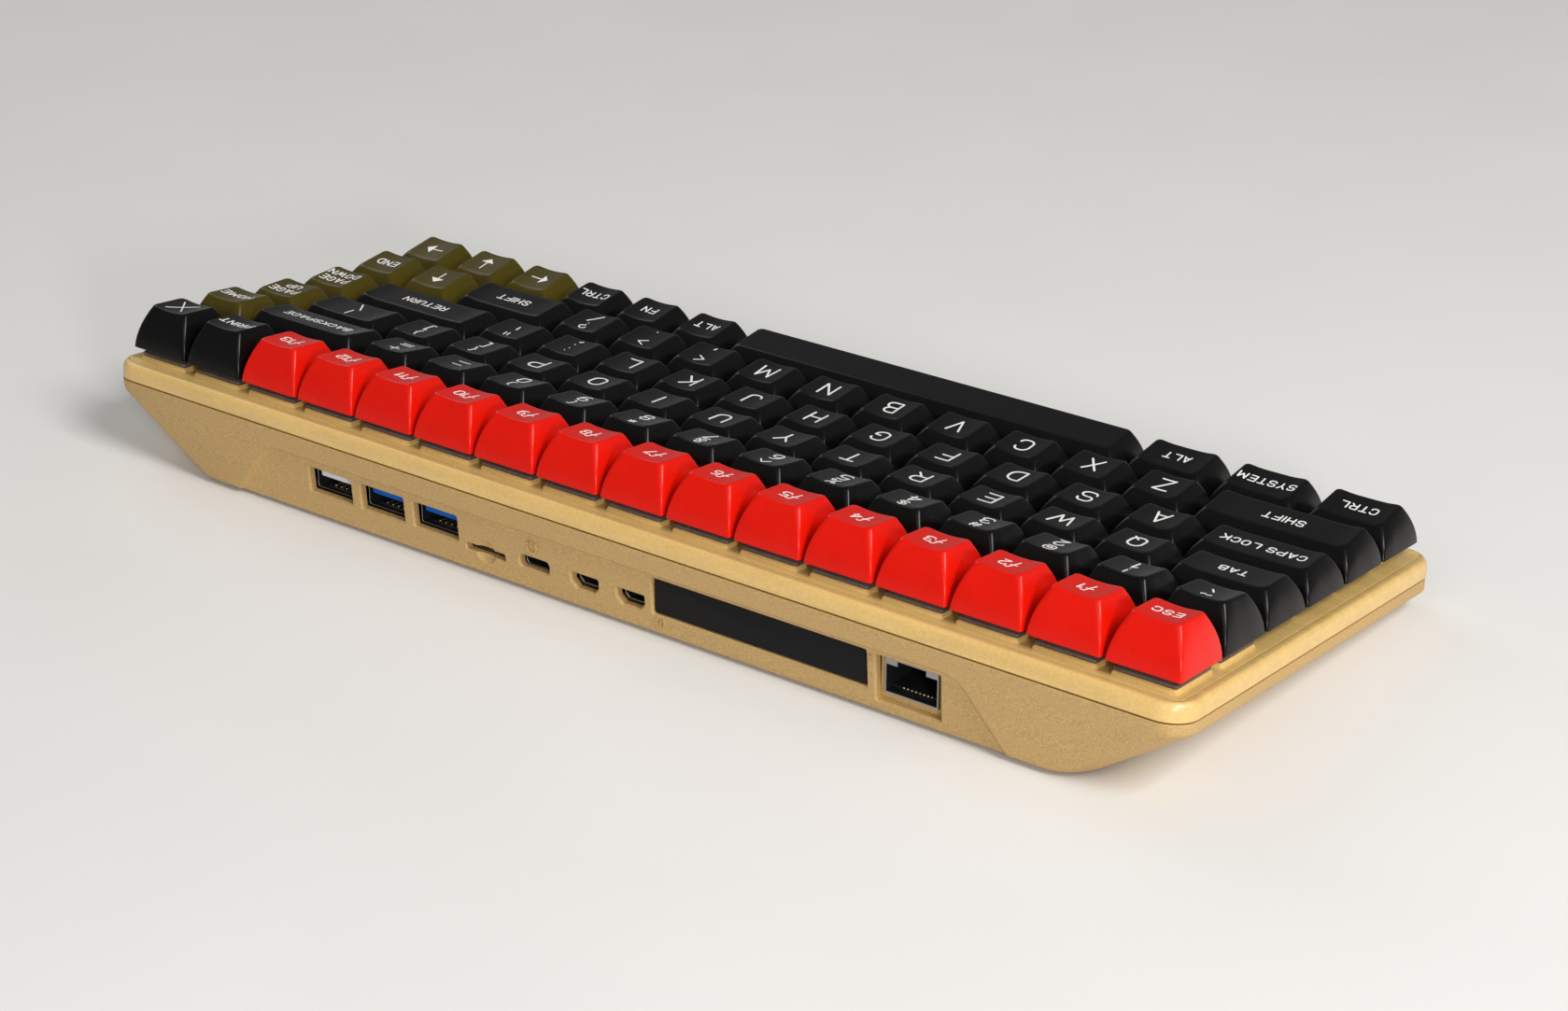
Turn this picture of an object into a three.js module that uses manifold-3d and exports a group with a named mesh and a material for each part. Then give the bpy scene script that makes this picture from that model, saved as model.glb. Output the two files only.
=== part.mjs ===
// All-in-one keyboard computer in millimetres: a wedge-shaped case whose lid is the keyboard.
// The keys lie on a deck that rises to the rear, and every socket opens in the rear face.
// Frame: +X is the typist's right, +Y is the rear, +Z is up.
// The origin is at the middle of the footprint, on the surface that the feet stand on.

import * as THREE from 'three';
import { mergeVertices } from 'three/addons/utils/BufferGeometryUtils.js';
import Module from 'manifold-3d';

const wasm = await Module();
wasm.setup();

// Clearances and overruns shared by all the pieces
const seatGap = 0.3;
const faceGap = 0.05;
const overrun = 5;
const weld = 0.4;

// Key grid
const keyPitch = 19.05;
const keyColumns = 16;
const keyRows = 6;
const keyGap = 0.95;
const keyTravel = 3;

// Keycaps, measured from the lower edge of the skirt
const capHeight = 11.3;
const capWall = 0.8;
const capCrown = 1.4;
const capSideInset = 3.25;
const capBackInset = 3.3;
const capFrontInset = 4.1;
const capDish = 0.8;
const capDishEdge = 3.2;
const shoulderHeightShare = 0.35;
const shoulderInsetShare = 0.1;
const stemWidth = 6;
const stemDrop = 2.3;
const capLinkWidth = 2;
const capLinkHeight = 1;
const capLinkRise = 0.2;

// Switches
const switchBodyWidth = 13.6;
const switchFlangeWidth = 15.2;
const switchFlangeHeight = 1.1;
const switchFloor = 1;
const railClearance = 0.3;
const rowTieWidth = 1;

// Key plate with its raised collars, and keyboard circuit board
const plateThickness = 1.2;
const plateSupportHeight = 2.8;
const collarWidth = 15.8;
const collarHeight = 1.1;
const keyboardPcbThickness = 1.6;
const keyboardPcbMargin = 0.425;

// Top frame round the keys
const frameOpeningMargin = 0.4;
const frameSideBorder = 2.85;
const frameEndBorder = 3.38;
const frameHeight = 4.52;
const frameStraightHeight = 2.4;
const frameEdgeInset = 1.35;
const frameCornerRadius = 7;
const frameShelf = 2.7;
const frameShelfThickness = 1.2;
const lipThickness = 1.2;
const lipDepth = 2;

// Case
const deckTilt = THREE.MathUtils.degToRad(6.5);
const seamHeight = 14.06;
const seamGap = 0.3;
const bandHeight = 3;
const sideFlare = THREE.MathUtils.degToRad(53.9);
const rearDraft = THREE.MathUtils.degToRad(3.4);
const caseWall = 2;
const rearWall = 3.2;
const floorThickness = 2;
const baseRearRadius = 11;
const baseFrontRadius = 5;
const cornerSteps = 4;

// Feet
const footHeight = 1.2;
const footPocket = 0.5;
const footWidth = 8;
const footLength = 210;
const footInset = 6;
const footEndSteps = 6;

// Air slots in the floor
const ventSlotWidth = 2.4;
const ventSlotLength = 26;
const ventPitch = 8;
const ventCount = 12;
const ventFromCentre = 12;

// Shallow recess of the rear panel
const recessDepth = 1.2;
const recessHeight = 15.6;
const recessTopHalfWidth = 101;
const recessSpread = 12.5;
const recessCornerRadius = 6;
const panelMargin = 12;

// Main board and what holds it
const boardStandoff = 1.5;
const boardThickness = 1.4;
const boardDepth = 76;
const boardMargin = 10;
const bossRadius = 3.2;
const bossSides = 10;
const screwRadius = 1.2;
const screwLength = 3.6;
const screwHeadRadius = 2.4;
const screwHeadHeight = 1.3;
const screwSlotWidth = 0.7;
const screwInset = 5;

// Chips and heat spreader
const chipWidth = 15;
const chipHeight = 1.3;
const spreaderWidth = 120;
const spreaderDepth = 40;
const spreaderFromSockets = 2;
const spreaderThickness = 1.4;
const spreaderFlange = 1.5;

// Openings of the rear panel, from the +X end to the -X end
const plugGap = 3.3;
const plugRise = 4.5;
const plugCutSideGap = 0.3;
const plugCutTopGap = 0.35;
const cardCutWidth = 12;
const cardCutHeight = 1.8;
const cardGap = 2.7;
const cardRise = 0.85;
const scoopRadius = 3.2;
const scoopDepth = 1;
const powerCutWidth = 8.8;
const powerCutHeight = 3.1;
const powerGap = 4.6;
const powerRise = 1.9;
const videoCutSideGap = 0.5;
const videoCutTopGap = 0.45;
const videoCutChamfer = 1.5;
const videoFirstGap = 6.9;
const videoGap = 5.7;
const videoRise = 1.45;
const headerCutSideGap = 0.75;
const headerCutTopGap = 0.35;
const headerGap = 2.6;
const headerRise = 4.4;
const networkCutSideGap = 0.85;
const networkCutTopGap = 1.45;
const networkGap = 2.5;
const networkRise = 3.1;

// Sockets behind those openings
const socketSetback = 0.3;
const plugShellWidth = 13.2;
const plugShellHeight = 5.8;
const plugShellDepth = 14;
const plugShellWall = 0.35;
const plugMouthDepth = 10;
const plugTongueSideGap = 0.7;
const plugTongueThickness = 1.85;
const plugTongueLength = 8.4;
const plugTongueDrop = 0.4;
const plugFootInset = 1.5;
const cardSocketWall = 1.35;
const cardSocketHeight = 1.9;
const cardSocketDepth = 15;
const cardMouthInset = 0.35;
const cardMouthHeight = 0.9;
const cardMouthDepth = 13;
const powerShellLap = 0.1;
const powerShellDepth = 7.5;
const powerShellWall = 0.35;
const powerTongueWidth = 6.6;
const powerTongueThickness = 0.7;
const powerTongueLength = 4.6;
const videoShellWidth = 6.8;
const videoShellHeight = 2.9;
const videoShellDepth = 7.6;
const videoShellWall = 0.35;
const videoTongueWidth = 4.2;
const videoTongueThickness = 0.7;
const videoTongueLength = 4.4;
const networkWidth = 15;
const networkHeight = 8.5;
const networkDepth = 18;
const networkProud = 0.9;
const networkWall = 1;
const networkMouthDepth = 12.5;
const networkLatchWidth = 6.4;
const networkLatchHeight = 1.3;

// Pin header and its pull-off cover
const pinPitch = 2.54;
const pinColumns = 20;
const pinRows = 2;
const pinWidth = 0.64;
const pinLength = 5.6;
const headerPinRoom = 1.8;
const headerEndWall = 1.6;
const headerSideWall = 0.7;
const headerDepth = 10;
const headerMouthHeight = 7.2;
const headerMouthDepth = 8;
const coverThickness = 2;
const coverSetback = 0.4;
const coverRimWall = 0.9;
const coverRimDepth = 2.2;

// Flat cable between the keyboard and the main board
const ribbonWidth = 18;
const ribbonThickness = 0.3;
const ribbonReach = 16;
const ribbonInset = 21;
const ribbonSteps = 6;
const connectorDepth = 4;
const connectorOverhang = 2;
const boardConnectorHeight = 1.8;
const deckConnectorHeight = 4.2;
const connectorFromFront = 26;

// Sizes that follow from the ones above
const keyFieldWidth = keyColumns * keyPitch;
const keyFieldDepth = keyRows * keyPitch;
const skirtHalf = (keyPitch - keyGap) / 2;
const openingHalfWidth = keyFieldWidth / 2 + frameOpeningMargin;
const openingHalfDepth = keyFieldDepth / 2 + frameOpeningMargin;
const deckHalfWidth = openingHalfWidth + frameSideBorder;
const deckHalfDepth = openingHalfDepth + frameEndBorder;
const plateTop = frameHeight - 2 * faceGap;
const plateBottom = plateTop - plateThickness;
const skirtRise = plateTop + keyTravel + seatGap;
const shoulderSide = capSideInset * shoulderInsetShare;
const shoulderBack = capBackInset * shoulderInsetShare;
const shoulderFront = capFrontInset * shoulderInsetShare;
const keyboardPcbTop = plateBottom - plateSupportHeight;
const keyboardPcbBottom = keyboardPcbTop - keyboardPcbThickness;
const flareSlope = Math.tan(sideFlare);
const draftSlope = Math.tan(rearDraft);
const caseHalfDepth = deckHalfDepth * Math.cos(deckTilt);
const rearSeamHeight = seamHeight + deckHalfDepth * Math.sin(deckTilt);
const rearFootY = caseHalfDepth - rearSeamHeight * draftSlope;
const boardTop = floorThickness + boardStandoff + boardThickness;
const boardRearY = rearFootY - rearWall - seatGap;
const boardFrontY = boardRearY - boardDepth;
const socketFrontY = rearFootY + boardTop * draftSlope - rearWall - socketSetback;
const plugCutWidth = plugShellWidth + 2 * plugCutSideGap;
const plugCutHeight = plugShellHeight + 2 * plugCutTopGap;
const plugMouthWidth = plugShellWidth - 2 * plugShellWall;
const plugMouthHeight = plugShellHeight - 2 * plugShellWall;
const plugTongueWidth = plugMouthWidth - 2 * plugTongueSideGap;
const cardMouthWidth = cardCutWidth - 2 * cardMouthInset;
const cardSocketWidth = cardMouthWidth + 2 * cardSocketWall;
const powerShellWidth = powerCutWidth + 2 * powerShellLap;
const powerShellHeight = powerCutHeight + 2 * powerShellLap;
const videoCutWidth = videoShellWidth + 2 * videoCutSideGap;
const videoCutHeight = videoShellHeight + 2 * videoCutTopGap;
const headerMouthWidth = pinColumns * pinPitch + 2 * headerPinRoom;
const headerWidth = headerMouthWidth + 2 * headerEndWall;
const headerHeight = headerMouthHeight + 2 * headerSideWall;
const headerCutWidth = headerWidth + 2 * headerCutSideGap;
const headerCutHeight = headerHeight + 2 * headerCutTopGap;
const networkCutWidth = networkWidth + 2 * networkCutSideGap;
const networkCutHeight = networkHeight + 2 * networkCutTopGap;

// One entry for each opening, placed from the +X end of the panel
const panelOpenings = {};
const openingOrder = [
  ['usb2_socket', plugCutWidth, plugCutHeight, 0, plugRise],
  ['usb3_socket_outer', plugCutWidth, plugCutHeight, plugGap, plugRise],
  ['usb3_socket_inner', plugCutWidth, plugCutHeight, plugGap, plugRise],
  ['memory_card_socket', cardCutWidth, cardCutHeight, cardGap, cardRise],
  ['power_socket', powerCutWidth, powerCutHeight, powerGap, powerRise],
  ['video_socket_first', videoCutWidth, videoCutHeight, videoFirstGap, videoRise],
  ['video_socket_second', videoCutWidth, videoCutHeight, videoGap, videoRise],
  ['expansion_header', headerCutWidth, headerCutHeight, headerGap, headerRise],
  ['network_socket', networkCutWidth, networkCutHeight, networkGap, networkRise],
];
let edgeX = recessTopHalfWidth - panelMargin;
for (const [name, width, height, gapBefore, rise] of openingOrder) {
  edgeX -= gapBefore;
  panelOpenings[name] = { x: edgeX - width / 2, z: boardTop + rise, width, height };
  edgeX -= width;
}
const boardRightX = recessTopHalfWidth - panelMargin + boardMargin;
const boardLeftX = edgeX - boardMargin;
const ribbonX = boardRightX - ribbonInset;

// Crown heights of each row, from the rear, as shares of capHeight
const rowProfiles = [
  { backShare: 1, frontShare: 0.98 },
  { backShare: 0.95, frontShare: 0.82 },
  { backShare: 0.74, frontShare: 0.69 },
  { backShare: 0.65, frontShare: 0.67 },
  { backShare: 0.65, frontShare: 0.74 },
  { backShare: 0.65, frontShare: 0.82 },
];

// Keys by row from the rear: each key's node, and its width as a share of the pitch
const functionKeyCount = 13;
const run = (node, count) => Array.from({ length: count }, () => [node, 1]);
const keyRowShares = [
  [
    ['esc_key', 1],
    ...Array.from({ length: functionKeyCount }, (unused, index) => [`f${index + 1}_key`, 1]),
    ['print_key', 1],
    ['cross_key', 1],
  ],
  [...run('number_keys', 13), ['backspace_key', 2], ['home_and_page_up_keys', 1]],
  [
    ['tab_key', 1.5],
    ...run('upper_letter_keys', 12),
    ['upper_letter_keys', 1.5],
    ['home_and_page_up_keys', 1],
  ],
  [
    ['caps_lock_key', 1.75],
    ...run('home_row_keys', 11),
    ['return_key', 2.25],
    ['page_down_and_end_keys', 1],
  ],
  [
    ['left_shift_key', 2.25],
    ...run('lower_letter_keys', 10),
    ['right_shift_key', 1.75],
    ['up_key', 1],
    ['page_down_and_end_keys', 1],
  ],
  [
    ['left_modifier_keys', 1.25],
    ['left_modifier_keys', 1.25],
    ['left_modifier_keys', 1.25],
    ['space_bar', 6.25],
    ...run('right_modifier_keys', 3),
    ['left_arrow_key', 1],
    ['down_key', 1],
    ['right_arrow_key', 1],
  ],
];
const navigationNodes = [
  'home_and_page_up_keys',
  'page_down_and_end_keys',
  'up_key',
  'left_arrow_key',
  'down_key',
  'right_arrow_key',
];

const keys = [];
keyRowShares.forEach((row, rowIndex) => {
  let left = -keyFieldWidth / 2;
  for (const [node, widthShare] of row) {
    const width = widthShare * keyPitch;
    keys.push({
      node,
      row: rowIndex,
      width,
      x: left + width / 2,
      y: keyFieldDepth / 2 - keyPitch * (rowIndex + 1 / 2),
      profile: rowProfiles[rowIndex],
    });
    left += width;
  }
});

// Solid helpers

function solidFrom(geometry) {
  const plain = geometry.index ? geometry.toNonIndexed() : geometry.clone();
  plain.deleteAttribute('normal');
  plain.deleteAttribute('uv');
  const merged = mergeVertices(plain);
  return new wasm.Manifold(
    new wasm.Mesh({
      numProp: 3,
      vertProperties: new Float32Array(merged.attributes.position.array),
      triVerts: new Uint32Array(merged.index.array),
    }),
  );
}

function geometryFrom(solid) {
  const mesh = solid.getMesh();
  const geometry = new THREE.BufferGeometry();
  geometry.setAttribute('position', new THREE.BufferAttribute(new Float32Array(mesh.vertProperties), 3));
  geometry.setIndex(new THREE.BufferAttribute(new Uint32Array(mesh.triVerts), 1));
  return geometry;
}

function block(x0, x1, y0, y1, z0, z1) {
  const geometry = new THREE.BoxGeometry(x1 - x0, y1 - y0, z1 - z0);
  geometry.translate((x0 + x1) / 2, (y0 + y1) / 2, (z0 + z1) / 2);
  return solidFrom(geometry);
}

function centredBlock(x, z, width, height, y0, y1) {
  return block(x - width / 2, x + width / 2, y0, y1, z - height / 2, z + height / 2);
}

function aroundKey(key, half, z0, z1) {
  return block(key.x - half, key.x + half, key.y - half, key.y + half, z0, z1);
}

function polyhedron(points, faces) {
  const positions = [];
  for (const face of faces) {
    for (let i = 1; i < face.length - 1; i += 1) {
      for (const index of [face[0], face[i], face[i + 1]]) {
        positions.push(points[index].x, points[index].y, points[index].z);
      }
    }
  }
  const geometry = new THREE.BufferGeometry();
  geometry.setAttribute('position', new THREE.BufferAttribute(new Float32Array(positions), 3));
  return solidFrom(geometry);
}

// Closed skin through loops of equal length, each running anticlockwise seen from above
function loft(loops) {
  const count = loops[0].length;
  const faces = [];
  for (let level = 0; level < loops.length - 1; level += 1) {
    for (let i = 0; i < count; i += 1) {
      const next = (i + 1) % count;
      const low = level * count;
      faces.push([low + i, low + next, low + count + next, low + count + i]);
    }
  }
  const top = (loops.length - 1) * count;
  faces.push(Array.from({ length: count }, (unused, i) => count - 1 - i));
  faces.push(Array.from({ length: count }, (unused, i) => top + i));
  return polyhedron(loops.flat(), faces);
}

function extrusion(outline, depth) {
  return new THREE.ExtrudeGeometry(new THREE.Shape(outline), { depth, bevelEnabled: false });
}

function prismAlongY(outline, y0, y1) {
  const geometry = extrusion(outline, y1 - y0);
  geometry.rotateX(Math.PI / 2);
  geometry.translate(0, y1, 0);
  return solidFrom(geometry);
}

function uprightPin(x, y, z0, z1, radius, sides) {
  const geometry = new THREE.CylinderGeometry(radius, radius, z1 - z0, sides);
  geometry.rotateX(Math.PI / 2);
  geometry.translate(x, y, (z0 + z1) / 2);
  return solidFrom(geometry);
}

// Outline through the given corners, each rounded by its own radius, anticlockwise
function roundedOutline(corners, radii, steps) {
  const outline = [];
  corners.forEach((corner, index) => {
    const before = corners[(index + corners.length - 1) % corners.length];
    const after = corners[(index + 1) % corners.length];
    const toBefore = before.clone().sub(corner).normalize();
    const toAfter = after.clone().sub(corner).normalize();
    const halfAngle = Math.acos(toBefore.dot(toAfter)) / 2;
    const radius = radii[index];
    const bisector = toBefore.clone().add(toAfter).normalize();
    const centre = corner.clone().addScaledVector(bisector, radius / Math.sin(halfAngle));
    const start = corner.clone().addScaledVector(toBefore, radius / Math.tan(halfAngle)).sub(centre);
    const turn = Math.PI - 2 * halfAngle;
    for (let step = 0; step <= steps; step += 1) {
      outline.push(start.clone().rotateAround(new THREE.Vector2(), (turn * step) / steps).add(centre));
    }
  });
  return outline;
}

function evenRadii(corners, radius) {
  return corners.map(() => radius);
}

function rectangleCorners(halfWidth, frontY, rearY) {
  return [
    new THREE.Vector2(-halfWidth, frontY),
    new THREE.Vector2(halfWidth, frontY),
    new THREE.Vector2(halfWidth, rearY),
    new THREE.Vector2(-halfWidth, rearY),
  ];
}

function levelLoop(outline, z) {
  return outline.map((point) => new THREE.Vector3(point.x, point.y, z));
}

function upright(outline, z0, z1) {
  return loft([levelLoop(outline, z0), levelLoop(outline, z1)]);
}

function ring(halfWidth, frontY, rearY, wall, z0, z1) {
  const outer = block(-halfWidth, halfWidth, frontY, rearY, z0, z1);
  const inner = block(
    wall - halfWidth,
    halfWidth - wall,
    frontY + wall,
    rearY - wall,
    z0 - overrun,
    z1 + overrun,
  );
  return outer.subtract(inner);
}

function finish(color, roughness, metalness) {
  return new THREE.MeshStandardMaterial({ color, roughness, metalness });
}

function place(parent, name, solid, material, position = new THREE.Vector3()) {
  const mesh = new THREE.Mesh(geometryFrom(solid), material);
  mesh.name = name;
  mesh.position.copy(position);
  parent.add(mesh);
}

// Deck pieces: the deck group's own z = 0 is the seam between the frame and the case

function frameSkin() {
  const edgeRise = frameHeight - frameStraightHeight;
  const arcShare = Math.SQRT1_2;
  const levels = [
    [seamGap / 2, 0],
    [frameStraightHeight, 0],
    [frameStraightHeight + edgeRise * arcShare, frameEdgeInset * (1 - arcShare)],
    [frameHeight, frameEdgeInset],
  ];
  const loops = levels.map(([z, inset]) => {
    const corners = rectangleCorners(deckHalfWidth - inset, inset - deckHalfDepth, deckHalfDepth - inset);
    const outline = roundedOutline(corners, evenRadii(corners, frameCornerRadius - inset), cornerSteps);
    return levelLoop(outline, z);
  });
  return loft(loops);
}

// Ledge inside the frame that carries the key plate
function frameLedge() {
  const shelfTop = plateBottom - seatGap;
  return ring(
    openingHalfWidth + weld,
    -openingHalfDepth - weld,
    openingHalfDepth + weld,
    frameShelf + weld,
    shelfTop - frameShelfThickness,
    shelfTop,
  );
}

// Lip that locates the frame inside the case walls
function frameLip() {
  const lean = lipDepth * (Math.sin(deckTilt) + draftSlope);
  const rearY = (caseHalfDepth - rearWall - seatGap - lean) / Math.cos(deckTilt);
  const section = (inset) => {
    const side = caseWall + seatGap + inset;
    const corners = rectangleCorners(deckHalfWidth - side, side - deckHalfDepth, rearY - inset);
    return roundedOutline(corners, evenRadii(corners, frameCornerRadius - side), cornerSteps);
  };
  const outside = upright(section(0), -lipDepth, seamGap / 2 + weld);
  return outside.subtract(upright(section(lipThickness), -lipDepth - overrun, frameHeight));
}

function topFrame() {
  const opening = block(
    -openingHalfWidth,
    openingHalfWidth,
    -openingHalfDepth,
    openingHalfDepth,
    -overrun,
    frameHeight + overrun,
  );
  return frameSkin().subtract(opening).add(frameLedge()).add(frameLip());
}

function keyPlate() {
  const plate = block(
    seatGap - openingHalfWidth,
    openingHalfWidth - seatGap,
    seatGap - openingHalfDepth,
    openingHalfDepth - seatGap,
    plateBottom,
    plateTop,
  );
  const holeHalf = switchBodyWidth / 2 + seatGap;
  const collars = [];
  const holes = [];
  for (const key of keys) {
    collars.push(aroundKey(key, collarWidth / 2, plateTop - weld, plateTop + collarHeight));
    holes.push(aroundKey(key, holeHalf, plateBottom - overrun, plateTop + overrun));
  }
  return plate.add(wasm.Manifold.union(collars)).subtract(wasm.Manifold.union(holes));
}

function keySwitches() {
  const bottom = keyboardPcbTop + seatGap;
  const flangeBottom = plateTop + collarHeight + seatGap;
  const flangeTop = flangeBottom + switchFlangeHeight;
  const railTop = plateBottom - railClearance;
  const body = switchBodyWidth / 2;
  const bore = stemWidth / 2 + seatGap;
  const solids = [];
  const bores = [];
  for (const key of keys) {
    solids.push(aroundKey(key, body, bottom, flangeBottom + weld));
    solids.push(aroundKey(key, switchFlangeWidth / 2, flangeBottom, flangeTop));
    bores.push(aroundKey(key, bore, bottom + switchFloor, flangeTop + overrun));
  }
  const rowStarts = [];
  for (let row = 0; row < keyRows; row += 1) {
    const rowKeys = keys.filter((key) => key.row === row);
    const { x: firstX, y } = rowKeys[0];
    const lastX = rowKeys[rowKeys.length - 1].x;
    solids.push(block(firstX - body, lastX + body, y - body, y + body, bottom, railTop));
    rowStarts.push(firstX - body);
  }
  const tieX = Math.max(...rowStarts);
  const tieEnd = keyFieldDepth / 2 - keyPitch / 2;
  solids.push(block(tieX, tieX + rowTieWidth, -tieEnd, tieEnd, bottom, railTop));
  return wasm.Manifold.union(solids).subtract(wasm.Manifold.union(bores));
}

function keyboardPcb(connectorY) {
  const pastSwitch = switchBodyWidth / 2 + keyboardPcbMargin;
  const halfWidth = (keyFieldWidth - keyPitch) / 2 + pastSwitch;
  const halfDepth = (keyFieldDepth - keyPitch) / 2 + pastSwitch;
  const board = block(-halfWidth, halfWidth, -halfDepth, halfDepth, keyboardPcbBottom, keyboardPcbTop);
  const halfConnector = ribbonWidth / 2 + connectorOverhang;
  const socket = block(
    ribbonX - halfConnector,
    ribbonX + halfConnector,
    connectorY,
    connectorY + connectorDepth,
    keyboardPcbBottom - deckConnectorHeight,
    keyboardPcbBottom + weld,
  );
  return board.add(socket);
}

// Keycap about its own centre, with the skirt's lower edge at z = 0
function capSizes(width, profile, dished) {
  const back = capHeight * profile.backShare;
  const front = capHeight * profile.frontShare;
  return {
    halfWidth: (width - keyGap) / 2,
    back,
    front,
    shoulder: Math.min(back, front) * shoulderHeightShare,
    dish: dished ? capDish : 0,
  };
}

function capLevel({ halfWidth }, side, rear, fore, z) {
  return [
    new THREE.Vector3(side - halfWidth, fore - skirtHalf, z),
    new THREE.Vector3(halfWidth - side, fore - skirtHalf, z),
    new THREE.Vector3(halfWidth - side, skirtHalf - rear, z),
    new THREE.Vector3(side - halfWidth, skirtHalf - rear, z),
  ];
}

// Edge of the dished crown, at the front with facing -1 or at the back with facing 1
function crownEdge(size, height, inset, shoulderInset, facing) {
  const topHalf = size.halfWidth - capSideInset;
  const dishHalf = topHalf - Math.min(capDishEdge, topHalf / 2);
  const lean = (inset - shoulderInset) / (height - size.shoulder);
  const edgeY = facing * (skirtHalf - inset);
  const dishY = edgeY + facing * lean * size.dish;
  return [
    new THREE.Vector3(-topHalf, edgeY, height),
    new THREE.Vector3(-dishHalf, dishY, height - size.dish),
    new THREE.Vector3(dishHalf, dishY, height - size.dish),
    new THREE.Vector3(topHalf, edgeY, height),
  ];
}

function capSkin(size) {
  const points = [
    ...capLevel(size, 0, 0, 0, 0),
    ...capLevel(size, shoulderSide, shoulderBack, shoulderFront, size.shoulder),
    ...crownEdge(size, size.front, capFrontInset, shoulderFront, -1),
    ...crownEdge(size, size.back, capBackInset, shoulderBack, 1),
  ];
  const faces = [
    [3, 2, 1, 0],
    [0, 1, 5, 4],
    [1, 2, 6, 5],
    [2, 3, 7, 6],
    [3, 0, 4, 7],
    [4, 5, 11, 10, 9, 8],
    [5, 6, 15, 11],
    [6, 7, 12, 13, 14, 15],
    [7, 4, 8, 12],
    [8, 9, 13, 12],
    [9, 10, 14, 13],
    [10, 11, 15, 14],
  ];
  return polyhedron(points, faces);
}

function capHollow(size, ceiling) {
  const insetAt = (inset, shoulderInset, height) =>
    THREE.MathUtils.mapLinear(ceiling, size.shoulder, height, shoulderInset, inset) + capWall;
  const skirt = capLevel(size, capWall, capWall, capWall, 0);
  return loft([
    skirt.map((point) => point.clone().setZ(-overrun)),
    skirt,
    capLevel(size, shoulderSide + capWall, shoulderBack + capWall, shoulderFront + capWall, size.shoulder),
    capLevel(
      size,
      insetAt(capSideInset, shoulderSide, Math.max(size.back, size.front)),
      insetAt(capBackInset, shoulderBack, size.back),
      insetAt(capFrontInset, shoulderFront, size.front),
      ceiling,
    ),
  ]);
}

function keycap(width, profile, dished) {
  const size = capSizes(width, profile, dished);
  const ceiling = Math.min(size.back, size.front) - size.dish - capCrown;
  const stem = stemWidth / 2;
  const post = block(-stem, stem, -stem, stem, -stemDrop, ceiling + weld);
  return capSkin(size).subtract(capHollow(size, ceiling)).add(post);
}

function keyGroup(members) {
  const [first] = members;
  const solids = [];
  members.forEach((key, index) => {
    const dx = key.x - first.x;
    const dy = key.y - first.y;
    solids.push(keycap(key.width, key.profile, key.node !== 'space_bar').translate([dx, dy, 0]));
    if (index === 0) {
      return;
    }
    const before = members[index - 1];
    const half = capLinkWidth / 2;
    const top = capLinkRise + capLinkHeight;
    if (before.row === key.row) {
      const x0 = before.x - first.x + (before.width - keyGap) / 2 - weld;
      solids.push(block(x0, x0 + keyGap + 2 * weld, dy - half, dy + half, capLinkRise, top));
    } else {
      const y0 = dy + skirtHalf - weld;
      solids.push(block(dx - half, dx + half, y0, y0 + keyGap + 2 * weld, capLinkRise, top));
    }
  });
  return wasm.Manifold.union(solids);
}

function keyColour(node) {
  const red = node === 'esc_key' || /^f\d+_key$/.test(node);
  if (red) {
    return finish(0xd81a12, 0.42, 0);
  }
  return navigationNodes.includes(node) ? finish(0x453a14, 0.5, 0) : finish(0x1b191b, 0.5, 0);
}

// Case pieces: z is measured from the case's flat underside

// The wedge's outer skin, or its hollow when the walls are given
function wedge(side, rear, floor, seamOffset) {
  const slantShift = side * Math.hypot(1, flareSlope);
  const bandRise = (slantShift - side) / flareSlope;
  const heightAt = (y) => seamHeight + y * Math.tan(deckTilt) - bandHeight;
  const flareHalf = (y, z) => deckHalfWidth - slantShift - (heightAt(y) - z) * flareSlope;
  const upperLoop = (rearInset, rise) => {
    const corners = rectangleCorners(deckHalfWidth - side, side - caseHalfDepth, caseHalfDepth - rearInset);
    const outline = roundedOutline(corners, evenRadii(corners, frameCornerRadius - side), cornerSteps);
    return outline.map((point) => new THREE.Vector3(point.x, point.y, heightAt(point.y) + rise));
  };
  const frontY = slantShift + (heightAt(-caseHalfDepth) - floor) * flareSlope - caseHalfDepth;
  const rearY = rearFootY + floor * draftSlope - rear;
  const base = [
    new THREE.Vector2(-flareHalf(frontY, floor), frontY),
    new THREE.Vector2(flareHalf(frontY, floor), frontY),
    new THREE.Vector2(flareHalf(rearY, floor), rearY),
    new THREE.Vector2(-flareHalf(rearY, floor), rearY),
  ];
  const frontRadius = baseFrontRadius - side;
  const rearRadius = baseRearRadius - side;
  const radii = [frontRadius, frontRadius, rearRadius, rearRadius];
  return loft([
    levelLoop(roundedOutline(base, radii, cornerSteps), floor),
    upperLoop(rear + bandHeight * draftSlope, bandRise),
    upperLoop(rear, bandHeight + seamOffset),
  ]);
}

function rearRecess() {
  const footHalf = recessTopHalfWidth + recessSpread;
  const corners = [
    new THREE.Vector2(-footHalf, -overrun),
    new THREE.Vector2(footHalf, -overrun),
    new THREE.Vector2(recessTopHalfWidth, recessHeight),
    new THREE.Vector2(-recessTopHalfWidth, recessHeight),
  ];
  const outline = roundedOutline(corners, evenRadii(corners, recessCornerRadius), cornerSteps);
  const lean = THREE.MathUtils.radToDeg(-rearDraft);
  return prismAlongY(outline, -recessDepth, overrun).rotate([lean, 0, 0]).translate([0, rearFootY, 0]);
}

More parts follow.
